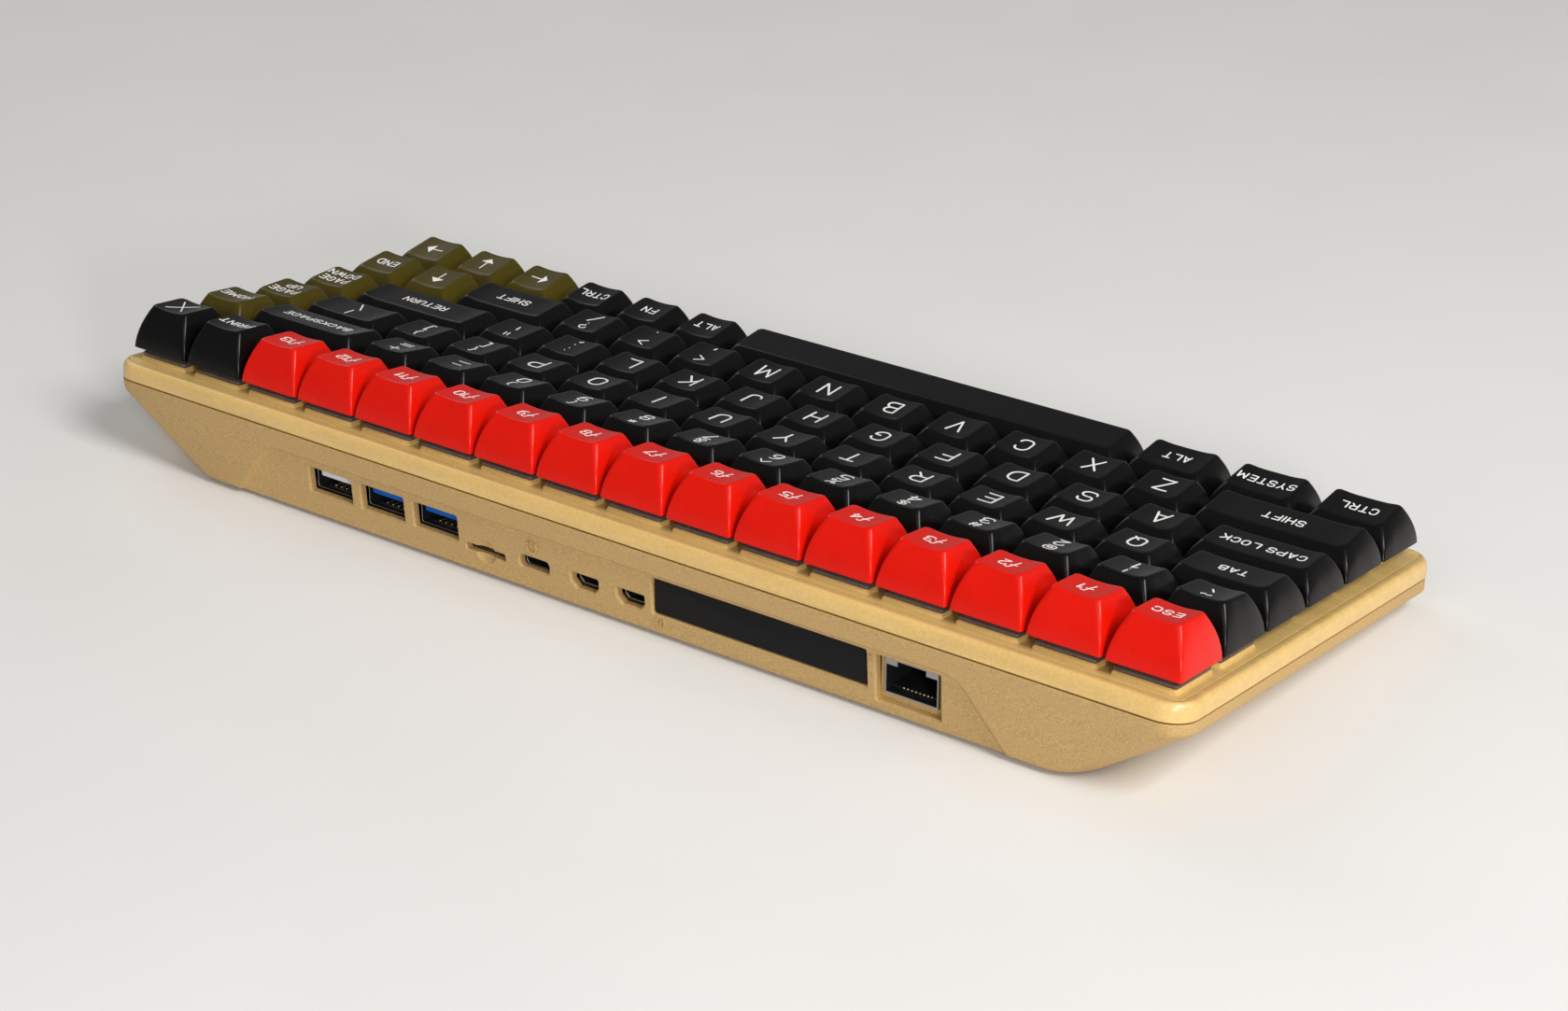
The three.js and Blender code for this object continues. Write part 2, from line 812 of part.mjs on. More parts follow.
function videoCut({ x, z, width, height }) {
  const outline = [
    new THREE.Vector2(x - width / 2 + videoCutChamfer, z - height / 2),
    new THREE.Vector2(x + width / 2 - videoCutChamfer, z - height / 2),
    new THREE.Vector2(x + width / 2, z - height / 2 + videoCutChamfer),
    new THREE.Vector2(x + width / 2, z + height / 2),
    new THREE.Vector2(x - width / 2, z + height / 2),
    new THREE.Vector2(x - width / 2, z - height / 2 + videoCutChamfer),
  ];
  return prismAlongY(outline, rearFootY - 2 * rearWall, rearFootY + overrun);
}

function panelCuts() {
  const cuts = [];
  for (const [name, opening] of Object.entries(panelOpenings)) {
    if (name.startsWith('video')) {
      cuts.push(videoCut(opening));
    } else {
      const { x, z, width, height } = opening;
      cuts.push(centredBlock(x, z, width, height, rearFootY - 2 * rearWall, rearFootY + overrun));
    }
  }
  const slot = panelOpenings.memory_card_socket;
  const scoop = new THREE.CylinderGeometry(scoopRadius, scoopRadius, overrun, bossSides);
  const scoopFloor = rearFootY + slot.z * draftSlope - recessDepth - scoopDepth;
  scoop.translate(slot.x, scoopFloor + overrun / 2, slot.z);
  cuts.push(solidFrom(scoop));
  return cuts;
}

function footPlaces() {
  const frontBandHeight = seamHeight - caseHalfDepth * Math.tan(deckTilt) - bandHeight;
  const frontY = frontBandHeight * flareSlope - caseHalfDepth + footInset + footWidth / 2;
  const rearY = rearFootY - footInset - footWidth / 2;
  return { front_foot: frontY, rear_foot: rearY };
}

function footOutline(y, margin) {
  const halfLength = footLength / 2 + margin;
  const halfWidth = footWidth / 2 + margin;
  const corners = rectangleCorners(halfLength, y - halfWidth, y + halfWidth);
  return roundedOutline(corners, evenRadii(corners, halfWidth), footEndSteps / 2);
}

function foot(y) {
  const outline = footOutline(y, 0);
  return upright(outline, 0, footHeight + footPocket - faceGap);
}

function screwPlaces() {
  const frontY = boardFrontY + screwInset;
  const rearY = boardRearY - screwInset;
  return [
    ['board_screw_front_right', boardRightX - screwInset, frontY],
    ['board_screw_rear_right', boardRightX - screwInset, rearY],
    ['board_screw_front_left', boardLeftX + screwInset, frontY],
    ['board_screw_rear_left', boardLeftX + screwInset, rearY],
  ];
}

function airSlots() {
  const slots = [];
  const halfSpan = ((ventCount - 1) * ventPitch) / 2;
  for (let index = 0; index < ventCount; index += 1) {
    const x = index * ventPitch - halfSpan;
    for (const side of [-1, 1]) {
      const y = side * (ventFromCentre + ventSlotLength / 2);
      slots.push(
        block(
          x - ventSlotWidth / 2,
          x + ventSlotWidth / 2,
          y - ventSlotLength / 2,
          y + ventSlotLength / 2,
          -overrun,
          floorThickness + boardStandoff / 2,
        ),
      );
    }
  }
  return slots;
}

function bottomCase() {
  const outside = wedge(0, 0, 0, -seamGap / 2);
  const inside = wedge(caseWall, rearWall, floorThickness, overrun);
  const bosses = screwPlaces().map(([, x, y]) =>
    uprightPin(x, y, floorThickness - weld, floorThickness + boardStandoff - faceGap, bossRadius, bossSides),
  );
  const bossBores = screwPlaces().map(([, x, y]) =>
    uprightPin(x, y, boardTop - screwLength - seatGap, boardTop, screwRadius + faceGap, bossSides),
  );
  const pockets = Object.values(footPlaces()).map((y) =>
    upright(footOutline(y, seatGap), -overrun, footPocket),
  );
  const cuts = [rearRecess(), ...panelCuts(), ...bossBores, ...pockets, ...airSlots()];
  return outside.subtract(inside).add(wasm.Manifold.union(bosses)).subtract(wasm.Manifold.union(cuts));
}

function mainBoard(connectorY) {
  const board = block(boardLeftX, boardRightX, boardFrontY, boardRearY, boardTop - boardThickness, boardTop);
  const holeBottom = boardTop - boardThickness - overrun;
  const holes = screwPlaces().map(([, x, y]) =>
    uprightPin(x, y, holeBottom, boardTop + overrun, screwRadius + seatGap, bossSides),
  );
  const halfConnector = ribbonWidth / 2 + connectorOverhang;
  const connector = block(
    ribbonX - halfConnector,
    ribbonX + halfConnector,
    connectorY,
    connectorY + connectorDepth,
    boardTop - weld,
    boardTop + boardConnectorHeight,
  );
  return board.subtract(wasm.Manifold.union(holes)).add(connector);
}

function boardScrew() {
  const shank = uprightPin(0, 0, -screwLength, screwHeadHeight / 2, screwRadius, bossSides);
  const head = uprightPin(0, 0, faceGap, screwHeadHeight, screwHeadRadius, bossSides);
  const halfSlot = screwSlotWidth / 2;
  const slot = block(-overrun, overrun, -halfSlot, halfSlot, screwHeadHeight / 2, overrun);
  return shank.add(head).subtract(slot);
}

function chip(width, height) {
  return block(-width / 2, width / 2, -width / 2, width / 2, faceGap, height);
}

function heatSpreader() {
  const bottom = chipHeight + seatGap;
  const half = spreaderWidth / 2;
  const plate = block(-half, half, -spreaderDepth / 2, spreaderDepth / 2, bottom, bottom + spreaderThickness);
  const legs = [-1, 1].map((side) => {
    const centre = side * (half - spreaderFlange / 2);
    return block(
      centre - spreaderFlange / 2,
      centre + spreaderFlange / 2,
      -spreaderDepth / 2,
      spreaderDepth / 2,
      faceGap,
      bottom + weld,
    );
  });
  return plate.add(wasm.Manifold.union(legs));
}

// Sockets about the middle of their opening, with the mouth at y = 0 and the body towards -Y

function plugSocket() {
  const shell = centredBlock(0, 0, plugShellWidth, plugShellHeight, -plugShellDepth, 0);
  const mouth = centredBlock(0, 0, plugMouthWidth, plugMouthHeight, -plugMouthDepth, overrun);
  const tongueZ = plugMouthHeight / 2 - plugTongueDrop - plugTongueThickness / 2;
  const tongue = centredBlock(
    0,
    tongueZ,
    plugTongueWidth,
    plugTongueThickness,
    -plugMouthDepth - weld,
    plugTongueLength - plugMouthDepth,
  );
  const base = block(
    plugFootInset - plugShellWidth / 2,
    plugShellWidth / 2 - plugFootInset,
    -plugShellDepth,
    -plugFootInset,
    faceGap - plugRise,
    weld - plugShellHeight / 2,
  );
  return shell.subtract(mouth).add(tongue).add(base);
}

function cardSocket() {
  const bodyBottom = faceGap - cardRise;
  const body = block(
    -cardSocketWidth / 2,
    cardSocketWidth / 2,
    -cardSocketDepth,
    0,
    bodyBottom,
    bodyBottom + cardSocketHeight,
  );
  return body.subtract(centredBlock(0, 0, cardMouthWidth, cardMouthHeight, -cardMouthDepth, overrun));
}

function smallSocket(size) {
  const bodyBottom = faceGap - size.rise;
  const centreZ = bodyBottom + size.height / 2;
  const shell = centredBlock(0, centreZ, size.width, size.height, -size.depth, 0);
  const mouth = centredBlock(
    0,
    centreZ,
    size.width - 2 * size.wall,
    size.height - 2 * size.wall,
    size.wall - size.depth,
    overrun,
  );
  const tongue = centredBlock(
    0,
    centreZ,
    size.tongueWidth,
    size.tongueThickness,
    size.wall - size.depth - size.wall / 2,
    size.wall - size.depth + size.tongueLength,
  );
  return shell.subtract(mouth).add(tongue);
}

function networkSocket() {
  const bottom = faceGap - networkRise;
  const top = bottom + networkHeight;
  const body = block(-networkWidth / 2, networkWidth / 2, -networkDepth, networkProud, bottom, top);
  const mouthTop = top - networkWall - networkLatchHeight;
  const mouth = block(
    networkWall - networkWidth / 2,
    networkWidth / 2 - networkWall,
    networkProud - networkMouthDepth,
    overrun,
    bottom + networkWall,
    mouthTop,
  );
  const latch = block(
    -networkLatchWidth / 2,
    networkLatchWidth / 2,
    networkProud - networkMouthDepth,
    overrun,
    mouthTop - weld,
    top - networkWall,
  );
  return body.subtract(mouth).subtract(latch);
}

function expansionHeader() {
  const frontY = -(rearWall - recessDepth) + socketSetback - coverSetback;
  const centreZ = faceGap - headerRise + headerHeight / 2;
  const body = centredBlock(0, centreZ, headerWidth, headerHeight, frontY - headerDepth, frontY);
  const rootY = frontY - headerMouthDepth;
  const mouth = centredBlock(0, centreZ, headerMouthWidth, headerMouthHeight, rootY, overrun);
  const pins = [];
  for (let column = 0; column < pinColumns; column += 1) {
    for (let row = 0; row < pinRows; row += 1) {
      const x = (column - (pinColumns - 1) / 2) * pinPitch;
      const z = centreZ + (row - (pinRows - 1) / 2) * pinPitch;
      pins.push(centredBlock(x, z, pinWidth, pinWidth, rootY - weld, rootY + pinLength));
    }
  }
  return body.subtract(mouth).add(wasm.Manifold.union(pins));
}

function headerCover() {
  const outerY = rearWall - recessDepth + socketSetback - coverSetback;
  const innerY = outerY - coverThickness;
  const centreZ = faceGap - headerRise + headerHeight / 2;
  const plateWidth = headerCutWidth - 2 * seatGap;
  const plateHeight = headerCutHeight - 2 * seatGap;
  const plate = centredBlock(0, 0, plateWidth, plateHeight, innerY, outerY);
  const rimWidth = headerMouthWidth - 2 * seatGap;
  const rimHeight = headerMouthHeight - 2 * seatGap;
  const frontY = -(rearWall - recessDepth) + socketSetback - coverSetback;
  const rim = centredBlock(0, centreZ, rimWidth, rimHeight, frontY - coverRimDepth, innerY + weld);
  const hollow = centredBlock(
    0,
    centreZ,
    rimWidth - 2 * coverRimWall,
    rimHeight - 2 * coverRimWall,
    frontY - overrun,
    innerY,
  );
  return plate.add(rim.subtract(hollow));
}

// Flat cable: flat out of the board's connector, round a half turn and back to the keyboard's connector
function ribbon(lowZ, highZ) {
  const radius = (highZ - lowZ) / 2;
  const outline = [];
  const arc = (r, reverse) => {
    for (let step = 0; step <= ribbonSteps; step += 1) {
      const share = reverse ? 1 - step / ribbonSteps : step / ribbonSteps;
      const angle = -Math.PI / 2 - Math.PI * share;
      const turn = new THREE.Vector2(Math.cos(angle), Math.sin(angle)).multiplyScalar(r);
      outline.push(turn.add(new THREE.Vector2(radius - ribbonReach, radius)));
    }
  };
  const half = ribbonThickness / 2;
  outline.push(new THREE.Vector2(0, -half));
  arc(radius + half, false);
  outline.push(new THREE.Vector2(0, 2 * radius + half));
  outline.push(new THREE.Vector2(0, 2 * radius - half));
  arc(radius - half, true);
  outline.push(new THREE.Vector2(0, half));
  const geometry = extrusion(outline, ribbonWidth);
  geometry.rotateX(Math.PI / 2);
  geometry.rotateZ(Math.PI / 2);
  return solidFrom(geometry);
}

// Assembly

// The frame leans over the front edge of the case, so the footprint's middle is set back by half of that
const computer = new THREE.Group();
computer.position.y = (frameStraightHeight * Math.sin(deckTilt)) / 2;
const deck = new THREE.Group();
deck.position.set(0, 0, footHeight + seamHeight);
deck.rotation.x = deckTilt;
computer.add(deck);
const base = new THREE.Group();
base.position.set(0, 0, footHeight);
computer.add(base);

const goldGloss = finish(0xd2ae66, 0.28, 0.1);
const sandMatte = finish(0xb8965f, 0.62, 0);
const steel = finish(0xb9bcc0, 0.35, 0.9);
const boardGreen = finish(0x14502e, 0.5, 0);
const blackPlastic = finish(0x17171a, 0.55, 0);
const smokedPlastic = finish(0x55504f, 0.25, 0);

const boardConnectorY = boardFrontY + connectorFromFront;
const ribbonLowZ = boardTop + boardConnectorHeight / 2;
const pcbDrop = keyboardPcbBottom * Math.cos(deckTilt);
const deckConnectorBottom = seamHeight + pcbDrop + boardConnectorY * Math.tan(deckTilt) - deckConnectorHeight;
const ribbonHighZ = deckConnectorBottom + boardConnectorHeight / 2;
const pcbConnectorY = (boardConnectorY + seatGap) / Math.cos(deckTilt);

place(base, 'bottom_case', bottomCase(), sandMatte);
place(deck, 'top_frame', topFrame(), goldGloss);
place(deck, 'key_plate', keyPlate(), goldGloss);
place(deck, 'key_switches', keySwitches(), smokedPlastic);
place(deck, 'keyboard_circuit_board', keyboardPcb(pcbConnectorY), boardGreen);

for (const node of new Set(keys.map((key) => key.node))) {
  const members = keys.filter((key) => key.node === node);
  const position = new THREE.Vector3(members[0].x, members[0].y, skirtRise);
  place(deck, node, keyGroup(members), keyColour(node), position);
}

place(base, 'main_board', mainBoard(boardConnectorY), boardGreen);
for (const [name, x, y] of screwPlaces()) {
  place(base, name, boardScrew(), steel, new THREE.Vector3(x, y, boardTop));
}
const chipY = socketFrontY - plugShellDepth - spreaderFromSockets - spreaderDepth / 2;
const chipPlace = new THREE.Vector3(0, chipY, boardTop);
place(base, 'processor', chip(chipWidth, chipHeight), blackPlastic, chipPlace);
place(base, 'heat_spreader', heatSpreader(), finish(0xc6c9cc, 0.4, 0.9), chipPlace);

const power = {
  rise: powerRise,
  width: powerShellWidth,
  height: powerShellHeight,
  depth: powerShellDepth,
  wall: powerShellWall,
  tongueWidth: powerTongueWidth,
  tongueThickness: powerTongueThickness,
  tongueLength: powerTongueLength,
};
const video = {
  rise: videoRise,
  width: videoShellWidth,
  height: videoShellHeight,
  depth: videoShellDepth,
  wall: videoShellWall,
  tongueWidth: videoTongueWidth,
  tongueThickness: videoTongueThickness,
  tongueLength: videoTongueLength,
};
const sockets = {
  usb2_socket: plugSocket(),
  usb3_socket_outer: plugSocket(),
  usb3_socket_inner: plugSocket(),
  memory_card_socket: cardSocket(),
  power_socket: smallSocket(power),
  video_socket_first: smallSocket(video),
  video_socket_second: smallSocket(video),
  expansion_header: expansionHeader(),
  network_socket: networkSocket(),
};
for (const [name, solid] of Object.entries(sockets)) {
  const opening = panelOpenings[name];
  const material = name === 'expansion_header' ? blackPlastic : steel;
  place(base, name, solid, material, new THREE.Vector3(opening.x, socketFrontY, opening.z));
}
const headerOpening = panelOpenings.expansion_header;
const coverPlace = new THREE.Vector3(headerOpening.x, socketFrontY, headerOpening.z);
place(base, 'header_cover', headerCover(), blackPlastic, coverPlace);

const ribbonPlace = new THREE.Vector3(ribbonX - ribbonWidth / 2, boardConnectorY - seatGap, ribbonLowZ);
place(base, 'keyboard_ribbon', ribbon(ribbonLowZ, ribbonHighZ), finish(0xd9d4c4, 0.5, 0), ribbonPlace);

for (const [name, y] of Object.entries(footPlaces())) {
  place(computer, name, foot(y), finish(0x2a2a2c, 0.85, 0));
}

export default computer;
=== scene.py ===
"""All-in-one keyboard computer: the looks of its case, keys and sockets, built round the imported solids.

Lengths inside the functions are in millimetres; every object is made in metres, at its own place.
"""

import math
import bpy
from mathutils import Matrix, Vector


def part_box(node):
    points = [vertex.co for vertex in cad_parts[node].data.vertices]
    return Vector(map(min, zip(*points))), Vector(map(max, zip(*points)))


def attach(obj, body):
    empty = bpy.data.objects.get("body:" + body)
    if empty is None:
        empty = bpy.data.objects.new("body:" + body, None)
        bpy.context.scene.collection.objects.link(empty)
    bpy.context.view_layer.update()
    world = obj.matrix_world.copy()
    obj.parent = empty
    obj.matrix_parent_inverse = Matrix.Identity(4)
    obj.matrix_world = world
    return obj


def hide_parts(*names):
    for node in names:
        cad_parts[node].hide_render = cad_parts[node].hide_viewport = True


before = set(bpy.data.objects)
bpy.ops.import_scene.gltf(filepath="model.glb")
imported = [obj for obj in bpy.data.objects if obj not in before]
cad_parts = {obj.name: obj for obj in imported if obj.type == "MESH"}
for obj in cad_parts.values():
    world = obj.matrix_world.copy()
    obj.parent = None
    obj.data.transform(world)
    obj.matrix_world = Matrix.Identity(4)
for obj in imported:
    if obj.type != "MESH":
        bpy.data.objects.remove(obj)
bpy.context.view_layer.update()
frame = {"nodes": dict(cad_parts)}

from types import SimpleNamespace

import bmesh
import bpy
from bpy.props import FloatProperty, FloatVectorProperty, PointerProperty
from mathutils import Matrix, Vector

bl_info = {
    "name": "Keyboard Computer",
    "version": (1, 0, 0),
    "blender": (4, 5, 0),
    "location": "3D View > Sidebar > Computer",
    "description": "Case, keys and sockets of an all-in-one keyboard computer",
    "category": "Add Mesh",
}

MM = 0.001


def linear(code):
    """A hex sRGB colour as the linear values that shaders take."""
    channels = [int(code[i : i + 2], 16) / 255 for i in (1, 3, 5)]
    return tuple(c / 12.92 if c <= 0.04045 else ((c + 0.055) / 1.055) ** 2.4 for c in channels)


def length(name, size, description):
    return FloatProperty(name=name, description=description, default=size * MM, min=0.0, unit="LENGTH")


def angle(name, degrees, description):
    return FloatProperty(name=name, description=description, default=math.radians(degrees), subtype="ANGLE")


def colour(name, code, description):
    return FloatVectorProperty(
        name=name, description=description, default=linear(code), size=3, min=0.0, max=1.0, subtype="COLOR"
    )


class KeySizes(bpy.types.PropertyGroup):
    """Sizes of the keycaps, their lettering and the switches below them."""

    pitch: length("Key pitch", 19.05, "Distance between the middles of two single keys")
    gap: length("Gap", 0.95, "Clear space between two neighbouring skirts")
    rise: length("Skirt rise", 7.72, "Height of the skirts' lower edge over the seam of the case")
    height: length("Cap height", 11.3, "Height of the tallest crown over the skirt's lower edge")
    wall: length("Cap wall", 0.8, "Thickness of a keycap's skirt")
    side_inset: length("Side inset", 3.25, "How far the crown's sides stand in from the skirt")
    back_inset: length("Back inset", 3.3, "How far the crown's rear edge stands in from the skirt")
    front_inset: length("Front inset", 4.1, "How far the crown's front edge stands in from the skirt")
    dish: length("Dish", 0.55, "Depth of the hollow in the crown")
    edge: length("Crown edge", 0.35, "Rounding of the edge round the crown")
    letter: length("Letter height", 5.3, "Height of a single letter")
    mark: length("Mark height", 3.9, "Height of a number or sign that shares its key")
    word: length("Word height", 2.45, "Height of the letters of a word")
    stroke: length("Stroke", 0.53, "Line width of the lettering")
    housing: length("Housing width", 15.2, "Width of the clear housing round a switch")
    collar: length("Collar width", 15.8, "Width of the raised collar that a housing stands on")


class CaseSizes(bpy.types.PropertyGroup):
    """Sizes of the case, the frame round the keys and the rear panel."""

    half_width: length("Half width", 155.65, "From the middle to the side of the frame")
    half_depth: length("Half depth", 60.93, "From the middle to the rear of the frame, along the slope")
    tilt: angle("Deck tilt", 6.5, "How far the deck rises to the rear")
    seam: length("Seam height", 14.06, "Height of the seam over the underside, at the middle")
    seam_gap: length("Seam gap", 0.42, "Width of the gap between the frame and the case")
    band: length("Band", 3.0, "Height of the upright band under the seam")
    flare: angle("Flare", 53.9, "Lean of the sides below the band")
    draft: angle("Rear draft", 3.4, "Lean of the rear panel")
    corner: length("Corner radius", 7.0, "Radius of the frame's corners seen from above")
    frame_height: length("Frame height", 4.52, "Height of the frame's flat top over the seam")
    frame_side: length("Frame side", 2.4, "Height at which the frame's outer face starts to round")
    frame_edge: length("Frame edge", 1.35, "Width of the frame's rounded edge")
    opening_half_width: length("Opening half width", 152.8, "From the middle to the side of the frame's opening")
    opening_half_depth: length("Opening half depth", 57.55, "From the middle to the rear of the frame's opening")
    wall: length("Side wall", 2.0, "Thickness of the case's sides")
    rear_wall: length("Rear wall", 3.2, "Thickness of the rear panel")
    floor: length("Floor", 2.0, "Thickness of the case's floor")
    recess: length("Recess depth", 1.2, "Depth of the rear panel's recess")
    recess_height: length("Recess height", 15.3, "Height of the recess over the underside")
    recess_half: length("Recess half width", 101.0, "From the middle to the end of the recess, at its top")
    recess_spread: length("Recess spread", 12.5, "How much further out the recess ends at the underside")
    foot: length("Foot height", 1.2, "How far the rubber feet stand out of the underside")


class Colours(bpy.types.PropertyGroup):
    """Colours of the visible materials."""

    case: colour("Case", "#BC9A62", "Sand-coloured shell")
    frame: colour("Frame", "#D8B36D", "Glossier rim and deck round the keys")
    red: colour("Red keys", "#D61506", "Escape and function keys")
    black: colour("Black keys", "#0B0908", "Letter, number and modifier keys")
    olive: colour("Olive keys", "#463C0C", "Navigation keys")
    legend: colour("Lettering", "#F1EFEA", "Letters on the keys")
    housing: colour("Switch housing", "#6B5C5A", "Smoked housings under the keys")
    tongue_blue: colour("Blue tongue", "#0258B4", "Tongue of the faster data sockets")
    tongue_white: colour("White tongue", "#D9DADC", "Tongue of the slower data socket")
    floor: colour("Floor", "#E6E4E0", "Studio floor")


def millimetres(group):
    """The settings of a group, with the lengths among them in millimetres."""
    values = {}
    for name, prop in group.bl_rna.properties.items():
        if prop.type == "FLOAT":
            value = getattr(group, name)
            values[name] = value / MM if prop.unit == "LENGTH" else value
    return SimpleNamespace(**values)


def settings():
    scene = bpy.context.scene
    return millimetres(scene.computer_case), millimetres(scene.computer_keys)


# Places. The deck's own z = 0 is the seam; the case's own z = 0 is its underside.


def set_back(case):
    """The frame leans over the front edge, so the footprint's middle is set back by half of that."""
    return case.frame_side * math.sin(case.tilt) / 2


def deck_place(case, x=0.0, y=0.0, z=0.0):
    turn = Matrix.Rotation(case.tilt, 4, "X")
    return Matrix.Translation((0, set_back(case), case.foot + case.seam)) @ turn @ Matrix.Translation((x, y, z))


def case_place(case):
    return Matrix.Translation((0, set_back(case), case.foot))


def rear_place(case, x, y, z):
    """Reads from behind: x is the viewer's right, y is up and z points out of the panel."""
    turn = Matrix(((-1, 0, 0, 0), (0, 0, 1, 0), (0, 1, 0, 0), (0, 0, 0, 1)))
    return case_place(case) @ Matrix.Translation((x, y, z)) @ turn


def deck_half(case):
    """Half the depth of the deck, seen from above."""
    return case.half_depth * math.cos(case.tilt)


def rear_foot(case):
    """Where the rear panel meets the underside, in the case's own frame."""
    rear_height = case.seam + case.half_depth * math.sin(case.tilt)
    return deck_half(case) - rear_height * math.tan(case.draft)


def panel_place(case, x, z):
    """The point of the recessed panel face at that height, seen from behind."""
    return rear_place(case, x, rear_foot(case) - case.recess + z * math.tan(case.draft), z)


# How far behind the middle of the case the mouths of the sockets lie
SOCKET_Y = 56.085

# Openings of the rear panel: middle, height over the underside, width, height and corner radius
OPENINGS = {
    "usb2_socket": (82.1, 9.4, 13.8, 6.5, 0.35),
    "usb3_socket_outer": (65.0, 9.4, 13.8, 6.5, 0.35),
    "usb3_socket_inner": (47.9, 9.4, 13.8, 6.5, 0.35),
    "memory_card_socket": (32.3, 5.75, 12.0, 1.8, 0.4),
    "power_socket": (17.3, 6.8, 8.8, 3.1, 1.0),
    "video_socket_first": (2.1, 6.35, 7.8, 3.8, 0.3),
    "video_socket_second": (-11.4, 6.35, 7.8, 3.8, 0.3),
    "expansion_header": (-47.45, 9.3, 59.1, 9.3, 0.5),
    "network_socket": (-87.85, 8.0, 16.7, 11.4, 0.35),
}

BOARD_SCREWS = tuple(f"board_screw_{end}_{side}" for side in ("right", "left") for end in ("front", "rear"))


def screw_spots(case):
    """The middles of the main board's screws, in the case's own frame."""
    middles = [sum(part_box(name), Vector()) / 2 / MM for name in BOARD_SCREWS]
    return [Vector((middle[0], middle[1] - set_back(case))) for middle in middles]


def socket_place(case, node):
    x, z = OPENINGS[node][:2]
    return rear_place(case, x, SOCKET_Y, z)


# Shapes


class Shape:
    """Points and faces of one mesh in millimetres, each face with the number of its material."""

    def __init__(self):
        self.points = []
        self.faces = []
        self.marks = []

    def add(self, points, faces, mark=0):
        first = len(self.points)
        self.points += [Vector(p) for p in points]
        self.faces += [[first + i for i in face] for face in faces]
        self.marks += [mark] * len(faces)

    def stack(self, loops, mark=0, ring=False, start=True, end=True):
        """Skin through loops that run anticlockwise seen from the last one, closed by flat ends or into a ring."""
        count = len(loops[0])
        faces = []
        for level in range(len(loops) if ring else len(loops) - 1):
            low = level * count
            high = (level + 1) % len(loops) * count
            for i in range(count):
                j = (i + 1) % count
                faces.append((low + i, low + j, high + j, high + i))
        if start and not ring:
            faces.append(tuple(reversed(range(count))))
        if end and not ring:
            last = (len(loops) - 1) * count
            faces.append(tuple(range(last, last + count)))
        self.add([p for loop in loops for p in loop], faces, mark)


def stacked(loops, ring=False):
    """A shape that is skinned through loops."""
    shape = Shape()
    shape.stack(loops, ring=ring)
    return shape


def rounded_path(corners, radii, steps, shares=None):
    """Anticlockwise outline with rounded corners; shares place the extra points on each straight side."""
    corners = [Vector(corner) for corner in corners]
    arcs = []
    for i, corner in enumerate(corners):
        before = (corners[i - 1] - corner).normalized()
        after = (corners[(i + 1) % len(corners)] - corner).normalized()
        half = math.acos(max(-1.0, min(1.0, before.dot(after)))) / 2
        centre = corner + (before + after).normalized() * radii[i] / math.sin(half)
        start = corner + before * radii[i] / math.tan(half) - centre
        turn = math.pi - 2 * half
        arcs.append([centre + Matrix.Rotation(turn * s / steps, 2) @ start for s in range(steps + 1)])
    outline = []
    for i, arc in enumerate(arcs):
        outline += arc
        following = arcs[(i + 1) % len(arcs)][0]
        outline += [arc[-1].lerp(following, share) for share in (shares[i] if shares else ())]
    return outline


def evenly(pieces):
    """Shares that split a side into equal pieces."""
    return [i / pieces for i in range(1, pieces)]


def centred(count, pitch):
    """Places of a row about its middle."""
    return [(i - (count - 1) / 2) * pitch for i in range(count)]


def box_path(x0, x1, y0, y1, radius, steps=4, shares=None):
    radius = max(min(radius, (x1 - x0) / 2.02, (y1 - y0) / 2.02), 0.001)
    return rounded_path([(x0, y0), (x1, y0), (x1, y1), (x0, y1)], [radius] * 4, steps, shares)


def centred_path(width, height, radius, x=0.0, y=0.0, steps=4):
    return box_path(x - width / 2, x + width / 2, y - height / 2, y + height / 2, radius, steps)


def circle_path(radius, points=32):
    turns = [2 * math.pi * i / points for i in range(points)]
    return [Vector((radius * math.cos(turn), radius * math.sin(turn))) for turn in turns]


def at(path, z, slope=0.0):
    """The outline at a height that may rise along y."""
    return [Vector((p[0], p[1], z + slope * p[1])) for p in path]


def tiers(path, *heights):
    """The same outline at several heights."""
    return [at(path, z) for z in heights]


def bend(low, knee, high, shares=(0.25, 0.5, 0.75)):
    """Loops that turn softly from one loop to another past a knee."""
    return [[a.lerp(b, t).lerp(b.lerp(c, t), t) for a, b, c in zip(low, knee, high)] for t in shares]


def offset(path, distance):
    """The outline grown by a distance, or shrunk by a negative one."""
    moved = []
    for i, p in enumerate(path):
        back = Vector(p) - Vector(path[i - 1])
        ahead = Vector(path[(i + 1) % len(path)]) - Vector(p)
        from_back = Vector((back[1], -back[0])).normalized()
        from_ahead = Vector((ahead[1], -ahead[0])).normalized()
        normal = (from_back + from_ahead).normalized()
        moved.append(Vector((p[0], p[1])) + normal * distance / max(normal.dot(from_ahead), 0.5))
    return moved


def block(shape, width, height, z0, z1, x=0.0, y=0.0, edge=0.12, radius=0.05, mark=0):
    """A small moulded or stamped block from z0 to z1 about the point x, y, with softened ends."""
    full = centred_path(width, height, radius + edge, x, y, 2)
    small = offset(full, -edge)
    shape.stack([at(small, z0), at(full, z0 + edge), at(full, z1 - edge), at(small, z1)], mark)


def strip(shape, path, width, thickness, x=0.0, mark=0):
    """A bent strip of sheet metal at x, through points (y, z) from the lowest z to the highest."""
    loops = []
    for i, (y, z) in enumerate(path):
        along = (Vector(path[min(i + 1, len(path) - 1)]) - Vector(path[max(i - 1, 0)])).normalized()
        across = Vector((along[1], -along[0])) * thickness / 2
        low = Vector((y, z)) - across
        high = Vector((y, z)) + across
        corners = ((-1, low), (1, low), (1, high), (-1, high))
        loops.append([Vector((x + side * width / 2, p[0], p[1])) for side, p in corners])
    shape.stack(loops, mark)


